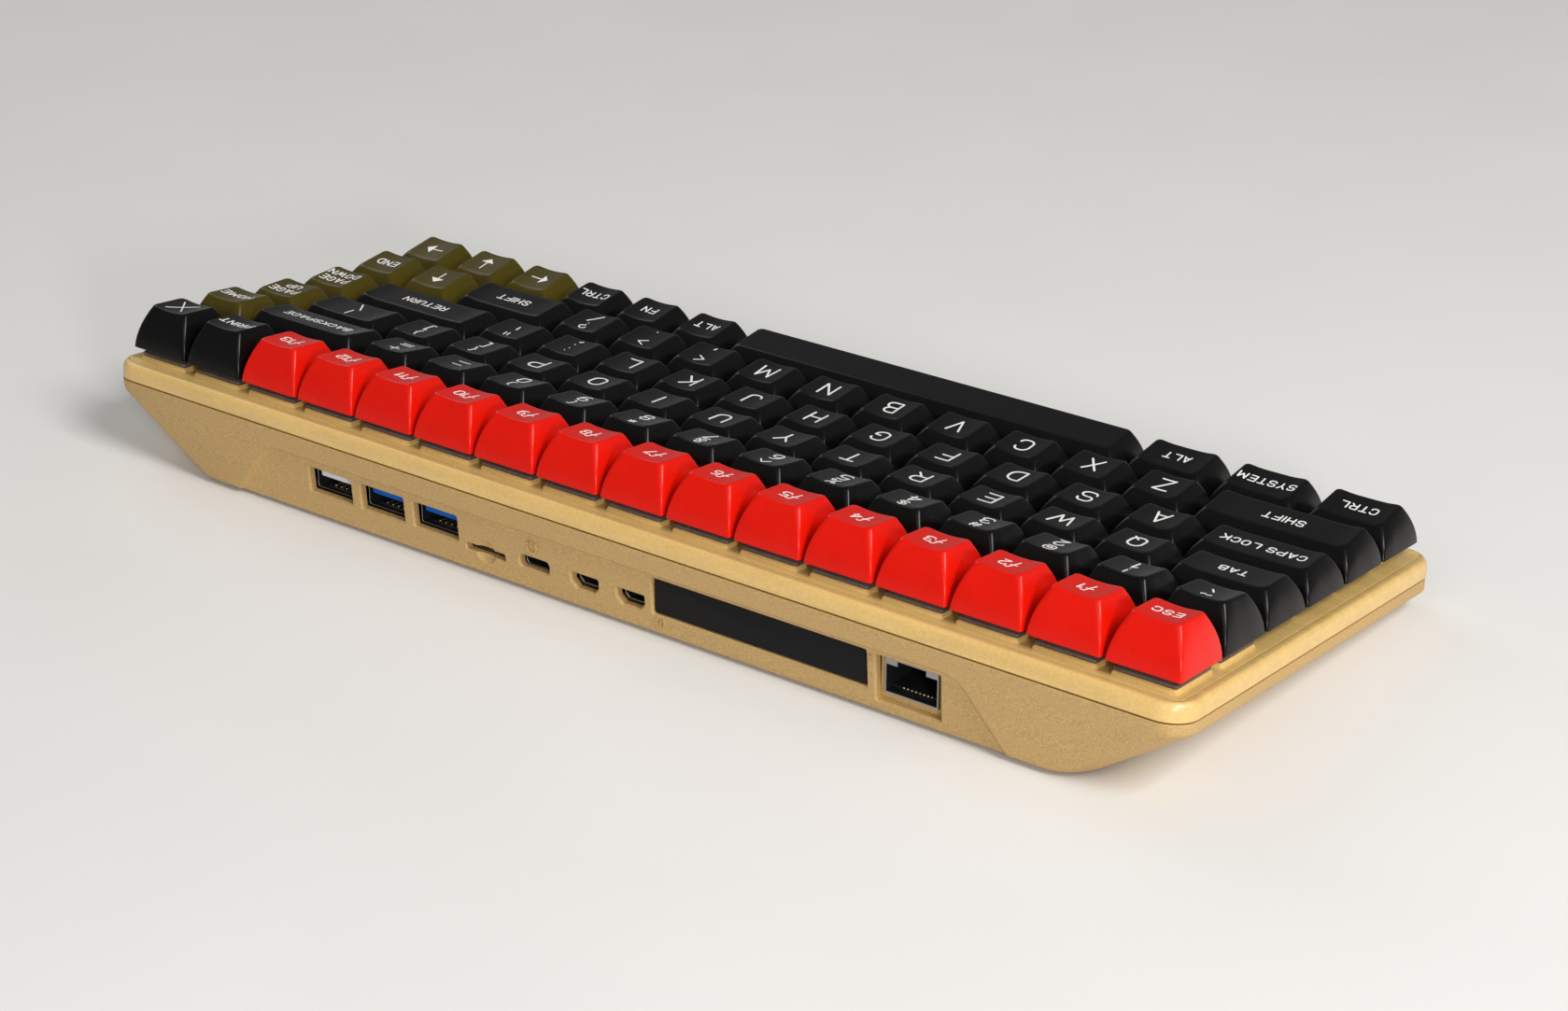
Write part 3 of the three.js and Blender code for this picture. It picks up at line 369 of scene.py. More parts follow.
def open_box(shape, outer, inner, back, front, floor, lip, lining_and_shade_mark=0):
    """A box from back to front that is hollow down to its floor, with a rounded lip round its open front. Its inside
    walls take their own material, which in the metal shells of the data, power and video sockets is black painted as
    shade, where the real shell is steel inside.
    """
    skin = [at(outer, back), at(outer, front - lip), at(offset(outer, -lip), front), at(offset(inner, lip), front)]
    shape.stack([*skin, at(inner, front - lip)], end=False)
    shape.stack([at(inner, front - lip), at(inner, floor)], lining_and_shade_mark, start=False)


def contacts(shape, count, pitch, width, back, front, y):
    """Flat contacts on both faces of a tongue whose middle lies at y."""
    for x in centred(count, pitch):
        for side in (-1, 1):
            block(shape, width, 0.08, back, front, x, y + side * 0.36, 0.02, 0.01, 2)


# Materials


def feed(tree, node, inputs):
    """Gives each socket of a node its value or the output that it is linked from."""
    for key, value in inputs.items():
        if isinstance(value, bpy.types.NodeSocket):
            tree.links.new(value, node.inputs[key])
        else:
            node.inputs[key].default_value = value


def add_node(tree, kind, inputs, **values):
    """Adds a shader node with its inputs and its other values."""
    made = tree.nodes.new("ShaderNode" + kind)
    for name, value in values.items():
        setattr(made, name, value)
    feed(tree, made, inputs)
    return made


def start_material(name):
    """A new material with its tree and its shader."""
    material = bpy.data.materials.new(name)
    material.use_nodes = True
    tree = material.node_tree
    return material, tree, tree.nodes["Principled BSDF"]


def piece_coordinates(tree):
    """Coordinates on the piece, shifted for each piece so that no two show the same grain."""
    place = add_node(tree, "TexCoord", {})
    chance = add_node(tree, "ObjectInfo", {})
    inputs = {0: place.outputs["Object"], 1: chance.outputs["Random"]}
    return add_node(tree, "VectorMath", inputs, operation="ADD").outputs[0]


def set_ramp(ramp, stops):
    """Colours and places of a ramp's stops."""
    elements = ramp.color_ramp.elements
    while len(elements) < len(stops):
        elements.new(0.5)
    for element, (place, code) in zip(elements, stops):
        element.position = place
        element.color = (*code, 1.0)


def grained(
    name, code, grain, depth, rough, spread, patch, rough_spread, stretch=(1, 1, 1), speckle=0.0, **sockets
):
    """A moulded, painted, plated or rubber surface.

    The grain, its depth and the patches of uneven tone and gloss are in millimetres. The spreads say how uneven they
    are, stretch draws the patches out along an axis, and speckle is the grain's share in the tone.
    """
    material, tree, shader = start_material(name)
    place = piece_coordinates(tree)
    wide = add_node(tree, "Mapping", {"Vector": place, "Scale": stretch})
    patches = add_node(tree, "TexNoise", {"Vector": wide.outputs[0], "Scale": 1 / (patch * MM), "Detail": 4.0})
    dark, light = [tuple(min(c * (1 + side * spread), 1.0) for c in code) for side in (-1, 1)]
    fine = add_node(tree, "TexNoise", {"Vector": place, "Scale": 1 / (grain * MM), "Detail": 2.0})
    # The mix node's sockets for numbers are its share, 2 and 3
    shares = {0: speckle, 2: patches.outputs["Fac"], 3: fine.outputs["Fac"]}
    both = add_node(tree, "Mix", shares, data_type="FLOAT")
    tone = add_node(tree, "ValToRGB", {"Fac": both.outputs[0]})
    set_ramp(tone, [(0.3, dark), (0.7, light)])
    limits = {"From Min": 0.3, "From Max": 0.7, "To Min": rough - rough_spread, "To Max": rough + rough_spread}
    gloss = add_node(tree, "MapRange", {"Value": patches.outputs["Fac"], **limits})
    bump = add_node(tree, "Bump", {"Height": fine.outputs["Fac"], "Strength": 1.0, "Distance": depth * MM})
    feed(tree, shader, {"Base Color": tone.outputs[0], "Roughness": gloss.outputs[0], "Normal": bump.outputs[0]})
    feed(tree, shader, {socket.replace("_", " "): value for socket, value in sockets.items()})
    return material


def solder_mask():
    # Glass-fibre board: glossy green lacquer over copper tracks on a 1.2 mm grid that show lighter.
    material, tree, shader = start_material("Glass-fibre board, solder mask")
    place = add_node(tree, "TexCoord", {}).outputs["Object"]
    pattern = {
        "Vector": place,
        "Color1": (*linear("#0F4A2A"), 1.0),
        "Color2": (*linear("#14552F"), 1.0),
        "Mortar": (*linear("#2C7A46"), 1.0),
        "Scale": 1 / (1.2 * MM),
        "Mortar Size": 0.12,
        "Brick Width": 6.0,
        "Row Height": 1.0,
    }
    tracks = add_node(tree, "TexBrick", pattern)
    weave = add_node(tree, "TexNoise", {"Vector": place, "Scale": 1 / (0.5 * MM)})
    gloss = add_node(tree, "MapRange", {"Value": weave.outputs["Fac"], "To Min": 0.26, "To Max": 0.42})
    bump = add_node(tree, "Bump", {"Height": tracks.outputs["Fac"], "Distance": 0.03 * MM})
    feed(tree, shader, {"Base Color": tracks.outputs[0], "Roughness": gloss.outputs[0], "Normal": bump.outputs[0]})
    return material


def ribbon_film():
    # Polyester flat cable: tinned conductors every 1 mm show through the white film.
    material, tree, shader = start_material("Polyester film with flat conductors")
    place = add_node(tree, "TexCoord", {}).outputs["Object"]
    bands = add_node(tree, "TexWave", {"Vector": place, "Scale": math.pi / (10 * MM)}, bands_direction="X")
    tone = add_node(tree, "ValToRGB", {"Fac": bands.outputs["Fac"]})
    set_ramp(tone, [(0.35, linear("#E6E3DA")), (0.6, linear("#A9A79F"))])
    bump = add_node(tree, "Bump", {"Height": bands.outputs["Fac"], "Distance": 0.03 * MM})
    feed(tree, shader, {"Base Color": tone.outputs[0], "Roughness": 0.32, "Normal": bump.outputs[0]})
    return material


METAL = {"Metallic": 1.0}
KEY_LOOK = (0.4, 0.004, 0.26, 0.08, 7.0, 0.03, {"speckle": 0.6, "Specular_IOR_Level": 0.2})
TONGUE_LOOK = (1.0, 0.004, 0.5, 0.04, 2.0, 0.04, {"Specular_IOR_Level": 0.15})

# Each finish: its name, its colour if no setting gives it, its grain and the depth of that, its roughness, the spread
# of its tone, the size of its patches, the spread of its roughness, and what else it needs
FINISHES = {
    # Spark-eroded ABS: a fine dull grain with a slight sparkle. The real 0.1 mm is drawn at 0.4 mm so that it shows.
    "case": ("ABS, moulded with a spark-eroded grain", None, 0.4, 0.05, 0.6, 0.2, 22.0, 0.05, {"speckle": 0.9}),
    # Lacquered ABS: semi-gloss with orange peel of about 0.6 mm, and long faint streaks of lighter and darker tone
    # along x that are partly uneven tone of the paint and partly painted reflection of the keys in the gloss.
    "frame": (
        "ABS, sprayed with semi-gloss lacquer", None, 0.6, 0.015, 0.34, 0.13, 3.0, 0.06,
        {"stretch": (0.12, 1, 1), "speckle": 0.5, "Coat_Weight": 0.35, "Coat_Roughness": 0.28},
    ),
    # Double-shot ABS: satin. The eroded grain of 0.08 mm is drawn at 0.4 mm so that it shows.
    "red": ("ABS, double-shot moulded, red", None, *KEY_LOOK),
    "black": ("ABS, double-shot moulded, black", None, *KEY_LOOK),
    "olive": ("ABS, double-shot moulded, olive", None, *KEY_LOOK),
    # The second shot of the keycap: the same satin surface in off-white.
    "legend": ("ABS, double-shot lettering", None, 0.25, 0.008, 0.45, 0.02, 3.0, 0.03, {}),
    # Injection-moulded polycarbonate: glossy and half clear, with flow marks of about 1 mm.
    "housing": (
        "Polycarbonate, smoked, polished mould", None, 1.2, 0.08, 0.11, 0.25, 3.0, 0.05,
        {"speckle": 0.4, "Transmission_Weight": 0.35, "IOR": 1.585},
    ),
    # Liquid crystal polymer: hard and slightly silky, with flow marks of 1 mm.
    "tongue_blue": ("Liquid crystal polymer, moulded, blue", None, *TONGUE_LOOK),
    "tongue_white": ("Liquid crystal polymer, moulded, white", None, *TONGUE_LOOK),
    # Tin-plated steel strip: bright, with rolling lines every 0.15 mm drawn at 0.4 mm so that they show.
    "steel": (
        "Steel strip, tin-plated", "#9D999B", 0.4, 0.003, 0.32, 0.1, 0.4, 0.09, {"stretch": (0.06, 1, 1), **METAL}
    ),
    # Gold-plated contacts: smooth and bright, with a slightly uneven tone along the plating.
    "gold": ("Copper alloy, gold-plated", "#F0DDAE", 0.3, 0.002, 0.38, 0.05, 1.5, 0.05, METAL),
    # Glass-filled nylon: dull black with a faint grain of 0.2 mm. The same black lines the inside of the metal shells
    # of the data, power and video sockets as painted shade.
    "nylon": ("Nylon, glass-filled, moulded", "#151517", 0.2, 0.01, 0.5, 0.12, 4.0, 0.05, {}),
    # Moulded rubber: deep matt black that takes a little dust, so its tone is uneven at 0.5 mm.
    "cover": ("Rubber, moulded, matt", "#0D0D0F", 0.35, 0.02, 0.75, 0.22, 0.5, 0.06, {"Specular_IOR_Level": 0.25}),
    # Die-cut rubber: dark grey with an open, slightly rough surface.
    "foot": ("Rubber, die-cut", "#2A2A2C", 0.5, 0.04, 0.85, 0.12, 3.0, 0.04, {}),
    # Transfer-moulded epoxy: charcoal, with the fine sparkle of its filler at 0.15 mm.
    "epoxy": ("Epoxy, transfer-moulded", "#1B1B1E", 0.15, 0.012, 0.55, 0.15, 0.3, 0.06, {}),
    # Bare aluminium sheet: brushed along its length, lines of 0.1 mm drawn at 0.3 mm so that they show.
    "aluminium": (
        "Aluminium sheet, brushed", "#C9CBCD", 0.3, 0.003, 0.34, 0.06, 0.3, 0.08, {"stretch": (0.03, 1, 1), **METAL}
    ),
    # Zinc-plated screws: dull blue-grey metal with a cloudy plating.
    "zinc": ("Steel, zinc-plated", "#B4B8BD", 0.2, 0.004, 0.36, 0.08, 1.0, 0.08, METAL),
    # Matt studio paper: even and pale, with a faint unevenness every 60 mm.
    "floor": ("Paper, matt", None, 1.0, 0.01, 0.9, 0.01, 60.0, 0.05, {}),
    "solder_mask": solder_mask,
    "ribbon_film": ribbon_film,
}
SOCKET_FINISHES = ("steel", "nylon", "gold")
MADE = {}


def finish(kind):
    """A material by the name of its finish, made when it is first asked for in its present colour."""
    look = FINISHES[kind]
    if callable(look):
        key = (kind,)
    else:
        name, code, *sizes, extras = look
        tone = linear(code) if code else tuple(getattr(bpy.context.scene.computer_colours, kind))
        key = (kind, tone)
    if key not in MADE:
        MADE[key] = look() if callable(look) else grained(name, tone, *sizes, **extras)
    return MADE[key]


# Objects


def new_object(name, data):
    """An object of the scene that shows some data."""
    made = bpy.data.objects.new(name, data)
    bpy.context.scene.collection.objects.link(made)
    return made


def mesh_of(shape, name):
    """A clean mesh of a shape, still in millimetres."""
    mesh = bpy.data.meshes.new(name)
    mesh.from_pydata([p[:] for p in shape.points], [], shape.faces)
    mesh.polygons.foreach_set("material_index", shape.marks)
    edit = bmesh.new()
    edit.from_mesh(mesh)
    bmesh.ops.remove_doubles(edit, verts=edit.verts, dist=0.0005)
    bmesh.ops.dissolve_degenerate(edit, edges=edit.edges, dist=0.0005)
    edit.to_mesh(mesh)
    edit.free()
    return mesh


def carved(mesh, cuts=(), joins=()):
    """The mesh with some shapes joined to it and then others cut out of it."""
    body = new_object("carved", mesh)
    tools = []
    for operation, shapes in (("UNION", joins), ("DIFFERENCE", cuts)):
        for shape in shapes:
            tools.append(new_object("tool", mesh_of(shape, "tool")))
            change = body.modifiers.new(operation, "BOOLEAN")
            change.operation = operation
            change.solver = "EXACT"
            change.object = tools[-1]
    bpy.context.view_layer.update()
    graph = bpy.context.evaluated_depsgraph_get()
    result = bpy.data.meshes.new_from_object(body.evaluated_get(graph))
    for helper in [body, *tools]:
        old = helper.data
        bpy.data.objects.remove(helper)
        bpy.data.meshes.remove(old)
    if not result.polygons:
        raise RuntimeError("nothing is left of a carved mesh")
    return result


def shape_of(mesh):
    """A mesh as a shape again, for more work on it."""
    shape = Shape()
    shape.add([v.co for v in mesh.vertices], [list(p.vertices) for p in mesh.polygons])
    bpy.data.meshes.remove(mesh)
    return shape


def build(name, shape, place, finishes, nodes=(), body="case", cuts=(), joins=(), smooth=32):
    """Makes a piece at its place, which rides on a body and stands for the nodes that it replaces."""
    mesh = mesh_of(shape, name)
    if cuts or joins:
        mesh = carved(mesh, cuts, joins)
        mesh.name = name
    mesh.transform(Matrix.Scale(MM, 4))
    mesh.polygons.foreach_set("use_smooth", [True] * len(mesh.polygons))
    mesh.set_sharp_from_angle(angle=math.radians(smooth))
    for i, kind in enumerate(finishes):
        if i < len(mesh.materials):
            mesh.materials[i] = finish(kind)
        else:
            mesh.materials.append(finish(kind))
    piece = new_object(name, mesh)
    piece.matrix_world = Matrix.Translation(place.translation * MM) @ place.to_3x3().to_4x4()
    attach(piece, body)
    if nodes:
        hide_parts(*nodes)


# Lettering: each sign is a list of strokes on a grid 12 high. A stroke starts with its corner radius, or with f
# for a filled outline, and goes on with the pairs of base-13 digits of its points.

DIGITS = "0123456789abc"
SIGNS = {
    "A": "0004c80 01373", "B": "0000c 30c7c7606 306868000", "C": "4898c0c008083", "D": "0000c 50c8c8000",
    "E": "08c0c0080 00676", "F": "08c0c00 00676", "G": "4898c0c008085 08555", "H": "0000c 0808c 00686", "I": "0000c",
    "J": "37c700003", "K": "0000c 08c04 03780", "L": "00c0080", "M": "0001c539ca0", "N": "0000c808c",
    "O": "44c0c00808c4c", "P": "0000c 30c8c8505", "Q": "44c0c00808c4c 05380", "R": "0000c 30c8c8505 04580",
    "S": "3898c0c0686800003", "T": "00c8c 04c40", "U": "40c00808c", "V": "00c408c", "W": "00c306990cc",
    "X": "0008c 00c80", "Y": "00c468c 04640", "Z": "00c8c0080", "0": "33c0c00707c3c", "1": "0093c30",
    "2": "3090c7c7700 00070", "3": "30a0c7c7636 33686800003", "4": "0606c0484", "5": "07c1c07 30787800002",
    "6": "56c0c04 3040777700004", "7": "00c7c20", "8": "33c0c06767c3c 3360600707636", "9": "5107078 37875050c7c78",
    "~": "205286487", "`": "01c47", "!": "01c14 01010", "@": "591010caca47478 2767838347476",
    "#": "0213b 0617b 00484 00888", "$": "2797b0b0676710103 0404c", "%": "0008c 12c0c09393c2c 1635350808363",
    "^": "0055ca5", "&": "280181c6c6804005085", "*": "0454c 0177b 01b77", "(": "33c0c0030", ")": "30c3c3000",
    "-": "006a6", "_": "000a0", "+": "006a6 0515b", "=": "004a4 008a8", "[": "03c0c0030", "]": "00c3c3000",
    "{": "24c2c2606 206262040", "}": "20c2c2646 246262000", "\\": "00c80", "|": "0000c", ";": "02828 02200",
    ":": "00808 00101", "'": "00c16", '"': "00c16 04c56", ",": "01200", ".": "00000", "<": "08b0681", ">": "00b8601",
    "/": "0008c", "?": "3090c7c763634 03030", "f": "28b7c5c30 01767", "left": "f063933 02686",
    "right": "f865359 00666", "up": "f4a1777 04842", "down": "f427515 0444a", "cross": "0119b 01b91", " ": "",
}

# Signs that fill their key
LARGE_SIGNS = ("left", "right", "up", "down", "cross")


def sign_strokes(sign):
    """The strokes of a sign: a corner radius, or None for a filled outline, and the points."""
    strokes = []
    for token in SIGNS[sign].split():
        values = [DIGITS.index(digit) for digit in token[1:]]
        points = [Vector(pair) for pair in zip(values[::2], values[1::2])]
        strokes.append((None if token[0] == "f" else int(token[0]), points))
    return strokes


def rounded_runs(points, radius):
    """Splits a stroke at its sharp corners and rounds the other ones."""
    steps = 6
    if radius == 0 or len(points) < 3:
        return [list(pair) for pair in zip(points, points[1:])]
    run = [points[0]]
    for i in range(1, len(points) - 1):
        corner = points[i]
        to_before = points[i - 1] - corner
        to_after = points[i + 1] - corner
        half = to_before.angle(to_after) / 2
        room_before = to_before.length * (1 if i == 1 else 0.5)
        room_after = to_after.length * (1 if i == len(points) - 2 else 0.5)
        reach = min(radius / math.tan(half), room_before, room_after)
        first = corner + to_before.normalized() * reach
        last = corner + to_after.normalized() * reach
        pull_first = first.lerp(corner, 0.55)
        pull_last = last.lerp(corner, 0.55)
        for step in range(steps + 1):
            t = step / steps
            middle = pull_first.lerp(pull_last, t)
            near = first.lerp(pull_first, t).lerp(middle, t)
            far = middle.lerp(pull_last.lerp(last, t), t)
            run.append(near.lerp(far, t))
    run.append(points[-1])
    return [run]


def pen(shape, run, width, surface, raised, sunk, mark=0):
    """A line of even width with round ends that follows a surface."""
    fine = [run[0]]
    for a, b in zip(run, run[1:]):
        pieces = max(1, math.ceil((b - a).length / 0.8))
        fine += [a.lerp(b, i / pieces) for i in range(1, pieces + 1)]
    points = [fine[0]]
    for p in fine[1:]:
        if (p - points[-1]).length > 0.01:
            points.append(p)
    if len(points) == 1:
        points.append(points[0] + Vector((0.02, 0)))
    steps = len(points)
    normals = []
    for i in range(steps):
        along = (points[min(i + 1, steps - 1)] - points[max(i - 1, 0)]).normalized()
        normals.append(Vector((along[1], -along[0])) * width / 2)

    def cap(centre, normal):
        return [centre + Matrix.Rotation(math.radians(45 * i), 2) @ normal for i in (1, 2, 3)]

    right = [p + n for p, n in zip(points, normals)]
    left = [p - n for p, n in zip(points, normals)]
    outline = right + cap(points[-1], normals[-1]) + left[::-1] + cap(points[0], -normals[0])
    count = len(outline)
    # The top face: a strip of quads between the two sides, and a rounded face at each end
    opposite = [2 * steps + 2 - i for i in range(steps)]
    tops = [(i, i + 1, opposite[i + 1], opposite[i]) for i in range(steps - 1)]
    tops.append(tuple(range(steps - 1, steps + 4)))
    tops.append((*range(opposite[0], count), 0))
    faces = tops + [tuple(count + i for i in reversed(face)) for face in tops]
    faces += [(count + i, count + (i + 1) % count, (i + 1) % count, i) for i in range(count)]
    top = [Vector((*p, surface(*p) + raised)) for p in outline]
    base = [Vector((*p, surface(*p) - sunk)) for p in outline]
    shape.add(top + base, faces, mark)


def sign_width(sign):
    return max((p[0] for _, points in sign_strokes(sign) for p in points), default=2)


def text_width(signs, height, spacing=3.3):
    return (sum(sign_width(sign) for sign in signs) + spacing * (len(signs) - 1)) * height / 12


def write(shape, signs, height, width, x, y, surface, mark=0, raised=0.035, sunk=0.12, lean=0.0, spacing=3.3):
    """Centred lettering of round-ended lines; each line lies a hair higher than the one it crosses."""
    unit = height / 12
    reached = -text_width(signs, height, spacing) / unit / 2
    order = 0
    for sign in signs:
        for radius, points in sign_strokes(sign):
            moved = [Vector((x + (reached + p[0] + (p[1] - 6) * lean) * unit, y + (p[1] - 6) * unit)) for p in points]
            if radius is None:
                if (moved[1] - moved[0]).cross(moved[2] - moved[0]) < 0:
                    moved.reverse()
                levels = [[Vector((*p, surface(*p) + rise)) for p in moved] for rise in (-sunk, raised)]
                shape.stack(levels, mark)
                continue
            for run in rounded_runs(moved, radius * unit):
                order += 1
                pen(shape, run, width, surface, raised + 0.002 * (order % 5), sunk, mark)
        reached += sign_width(sign) + spacing


# Keys

# The crown's height at its rear and front edge, as shares of the cap height, for each row from the rear
ROW_SHARES = ((1, 0.98), (0.95, 0.87), (0.74, 0.75), (0.65, 0.72), (0.65, 0.8), (0.65, 0.85))


def run_of(node, *keys):
    return [(name, 1, node, signs) for name, signs in keys]


def letters(node, text):
    return run_of(node, *[(letter.lower(), letter) for letter in text])


# Each key: its name, its width as a share of the pitch, its node and its lettering. A list holds lines of words or
# a large sign, a pair holds a sign over another one, and a plain string is one large letter or a function number.
KEY_ROWS = (
    [
        ("esc", 1, "esc_key", ["ESC"]),
        *[(f"f{n}", 1, f"f{n}_key", f"f{n}") for n in range(1, 14)],
        ("print", 1, "print_key", ["PRINT"]),
        ("cross", 1, "cross_key", ["cross"]),
    ],
    [
        *run_of(
            "number_keys",
            ("grave", ("~", "`")),
            *[(number, (sign, number)) for number, sign in zip("1234567890", "!@#$%^&*()")],
            ("minus", ("_", "-")),
            ("equal", ("+", "=")),
        ),
        ("backspace", 2, "backspace_key", ["BACKSPACE"]),
        ("home", 1, "home_and_page_up_keys", ["HOME"]),
    ],
    [
        ("tab", 1.5, "tab_key", ["TAB"]),
        *letters("upper_letter_keys", "QWERTYUIOP"),
        *run_of("upper_letter_keys", ("left_bracket", ("{", "[")), ("right_bracket", ("}", "]"))),
        ("backslash", 1.5, "upper_letter_keys", ("|", "\\")),
        ("page_up", 1, "home_and_page_up_keys", ["PAGE", "UP"]),
    ],
    [
        ("caps_lock", 1.75, "caps_lock_key", ["CAPS LOCK"]),
        *letters("home_row_keys", "ASDFGHJKL"),
        *run_of("home_row_keys", ("semicolon", (":", ";")), ("quote", ('"', "'"))),
        ("return", 2.25, "return_key", ["RETURN"]),
        ("page_down", 1, "page_down_and_end_keys", ["PAGE", "DOWN"]),
    ],
    [
        ("left_shift", 2.25, "left_shift_key", ["SHIFT"]),
        *letters("lower_letter_keys", "ZXCVBNM"),
        *run_of("lower_letter_keys", ("comma", ("<", ",")), ("period", (">", ".")), ("slash", ("?", "/"))),
        ("right_shift", 1.75, "right_shift_key", ["SHIFT"]),
        ("up", 1, "up_key", ["up"]),
        ("end", 1, "page_down_and_end_keys", ["END"]),
    ],
    [
        ("left_control", 1.25, "left_modifier_keys", ["CTRL"]),
        ("system", 1.25, "left_modifier_keys", ["SYSTEM"]),
        ("left_alt", 1.25, "left_modifier_keys", ["ALT"]),
        ("space", 6.25, "space_bar", []),
        ("right_alt", 1, "right_modifier_keys", ["ALT"]),
        ("function", 1, "right_modifier_keys", ["FN"]),
        ("right_control", 1, "right_modifier_keys", ["CTRL"]),
        ("left", 1, "left_arrow_key", ["left"]),
        ("down", 1, "down_key", ["down"]),
        ("right", 1, "right_arrow_key", ["right"]),
    ],
)
RED_NODES = ("esc_key", *[f"f{n}_key" for n in range(1, 14)])
OLIVE_NODES = ("home_and_page_up_keys", "page_down_and_end_keys", "up_key")
OLIVE_NODES += ("left_arrow_key", "down_key", "right_arrow_key")


def key_layout(keys):
    """Every key with its place on the deck and the heights of its crown; the rows are 16 pitches wide."""
    laid = []
    for row, members in enumerate(KEY_ROWS):
        left = -8 * keys.pitch
        for name, share, node, signs in members:
            width = share * keys.pitch
            key = SimpleNamespace(name=name, row=row, node=node, signs=signs, x=left + width / 2)
            key.y = keys.pitch * (2.5 - row)
            key.half = (width - keys.gap) / 2
            key.back, key.front = (keys.height * part for part in ROW_SHARES[row])
            if node in OLIVE_NODES:
                # The olive crowns are a little flatter
                key.front += 0.05 * keys.height
            key.dish = 0.0 if name == "space" else keys.dish
            laid.append(key)
            left += width
    return laid


def crown_height(key, keys):
    """Height of the crown over the skirt's lower edge: it slopes from back to front and is hollow across."""
    deep = (keys.pitch - keys.gap) / 2
    y_back = deep - keys.back_inset
    y_front = keys.front_inset - deep
    top_half = key.half - keys.side_inset
    run = deep - keys.side_inset

    def height(x, y):
        slope = (y - y_front) / (y_back - y_front)
        share = max(0.0, min(1.0, (top_half - abs(x)) / run))
        return key.front + (key.back - key.front) * slope - key.dish * (1 - (1 - share) ** 2)

    return height


def bulge(rise):
    """How far a keycap's side has come in at a share of its height, as a share of its whole inset."""
    return 0.2 * rise + 0.8 * rise * rise


def keycap_shape(key, keys):
    """A shelled cap with bulged sides, softened edges, a hollow crown and a round stem."""
    deep = (keys.pitch - keys.gap) / 2
    height = crown_height(key, keys)
    lowest = min(key.back, key.front)

    # Points along the front and rear of the crown, as shares of its width, closer together near the corners
    span = 2 * (key.half - keys.side_inset)
    ends = [0.8, 1.8, 2.9, 4.2]
    middle = max(1, round((span - 10) / 12))
    xs = [e / span for e in ends]
    xs += [0.5] if middle == 1 else [0.36 + 0.28 * i / (middle - 1) for i in range(middle)]
    xs += [1 - e / span for e in reversed(ends)]
    shares = [xs, evenly(3), xs, evenly(3)]

    def outline(share, grow=0.0, corner=0.0):
        x = key.half - keys.side_inset * share + grow
        front = keys.front_inset * share - deep - grow
        back = deep - keys.back_inset * share + grow
        return box_path(-x, x, front, back, 0.55 + 0.75 * share + corner, 4, shares)

    def crowned(grow):
        return [Vector((*p, height(*p))) for p in outline(1, grow)]

    top = crowned(0)

    def level(rise):
        return [Vector((*p, top[i][2] * rise)) for i, p in enumerate(outline(bulge(rise)))]

    below = level(1 - keys.edge * 1.3 / lowest)
    inside = crowned(-keys.edge)
    crown = [inside, *[crowned(-inset) for inset in (1.1, 2.0, 2.9, 3.8, 4.6, 5.1)]]

    roof = 1.4
    ceiling = lowest - key.dish - roof
    hollow = []
    for share in (1.0, 0.66, 0.33, 0.03):
        rise = ceiling * share / max(key.back, key.front)
        hollow.append(at(outline(bulge(rise), -keys.wall - 0.35 * rise, 0.2), ceiling * share))
    rim = [at(outline(0, -keys.wall + 0.15), 0), at(outline(0, -0.15), 0)]
    sides = [level(rise) for rise in (0.02, 0.14, 0.28, 0.42, 0.56, 0.7, 0.82, 0.92)]

    shape = stacked([*hollow, *rim, *sides, below, *bend(below, top, inside), *crown])
    # The stem: radius and height of each loop
    shape.stack([at(circle_path(r, 20), z) for r, z in ((2.5, -2.3), (2.8, -2.0), (2.8, ceiling + 0.3))])
    return shape


def add_legend(shape, key, keys):
    """The key's lettering, let into its crown."""
    surface = crown_height(key, keys)
    middle = (keys.front_inset - keys.back_inset) / 2
    thin = keys.stroke * 0.7
    signs = key.signs
    if isinstance(signs, tuple):
        write(shape, [signs[0]], keys.mark * 0.85, thin, 0, middle + 2.6, surface, 1)
        write(shape, [signs[1]], keys.mark, keys.stroke * 0.85, 0, middle - 2.1, surface, 1)
    elif isinstance(signs, str) and signs[0] == "f":
        number = signs[1:]
        small = keys.mark * 0.72
        wide = text_width("f", keys.mark) + 0.3
        narrow = text_width(number, small) + 0.3
        write(shape, "f", keys.mark, thin, -narrow / 2, middle, surface, 1, lean=0.1)
        write(shape, number, small, thin, wide / 2, middle, surface, 1, lean=0.1)
    elif isinstance(signs, str):
        write(shape, signs, keys.letter, keys.stroke, 0, middle, surface, 1)
    elif len(signs) == 1 and signs[0] in LARGE_SIGNS:
        write(shape, signs, keys.letter * 1.5, thin, 0, middle, surface, 1)
    else:
        for line, word in enumerate(signs):
            y = middle + 1.9 * (len(signs) - 1 - 2 * line)
            write(shape, word, keys.word, keys.stroke * 0.74, 0, y, surface, 1, spacing=4.3)


# Case

FOOT_LENGTH = 210
FOOT_WIDTH = 8
# How far the middle of a foot stands in from the edge of the underside
FOOT_INSET = 10


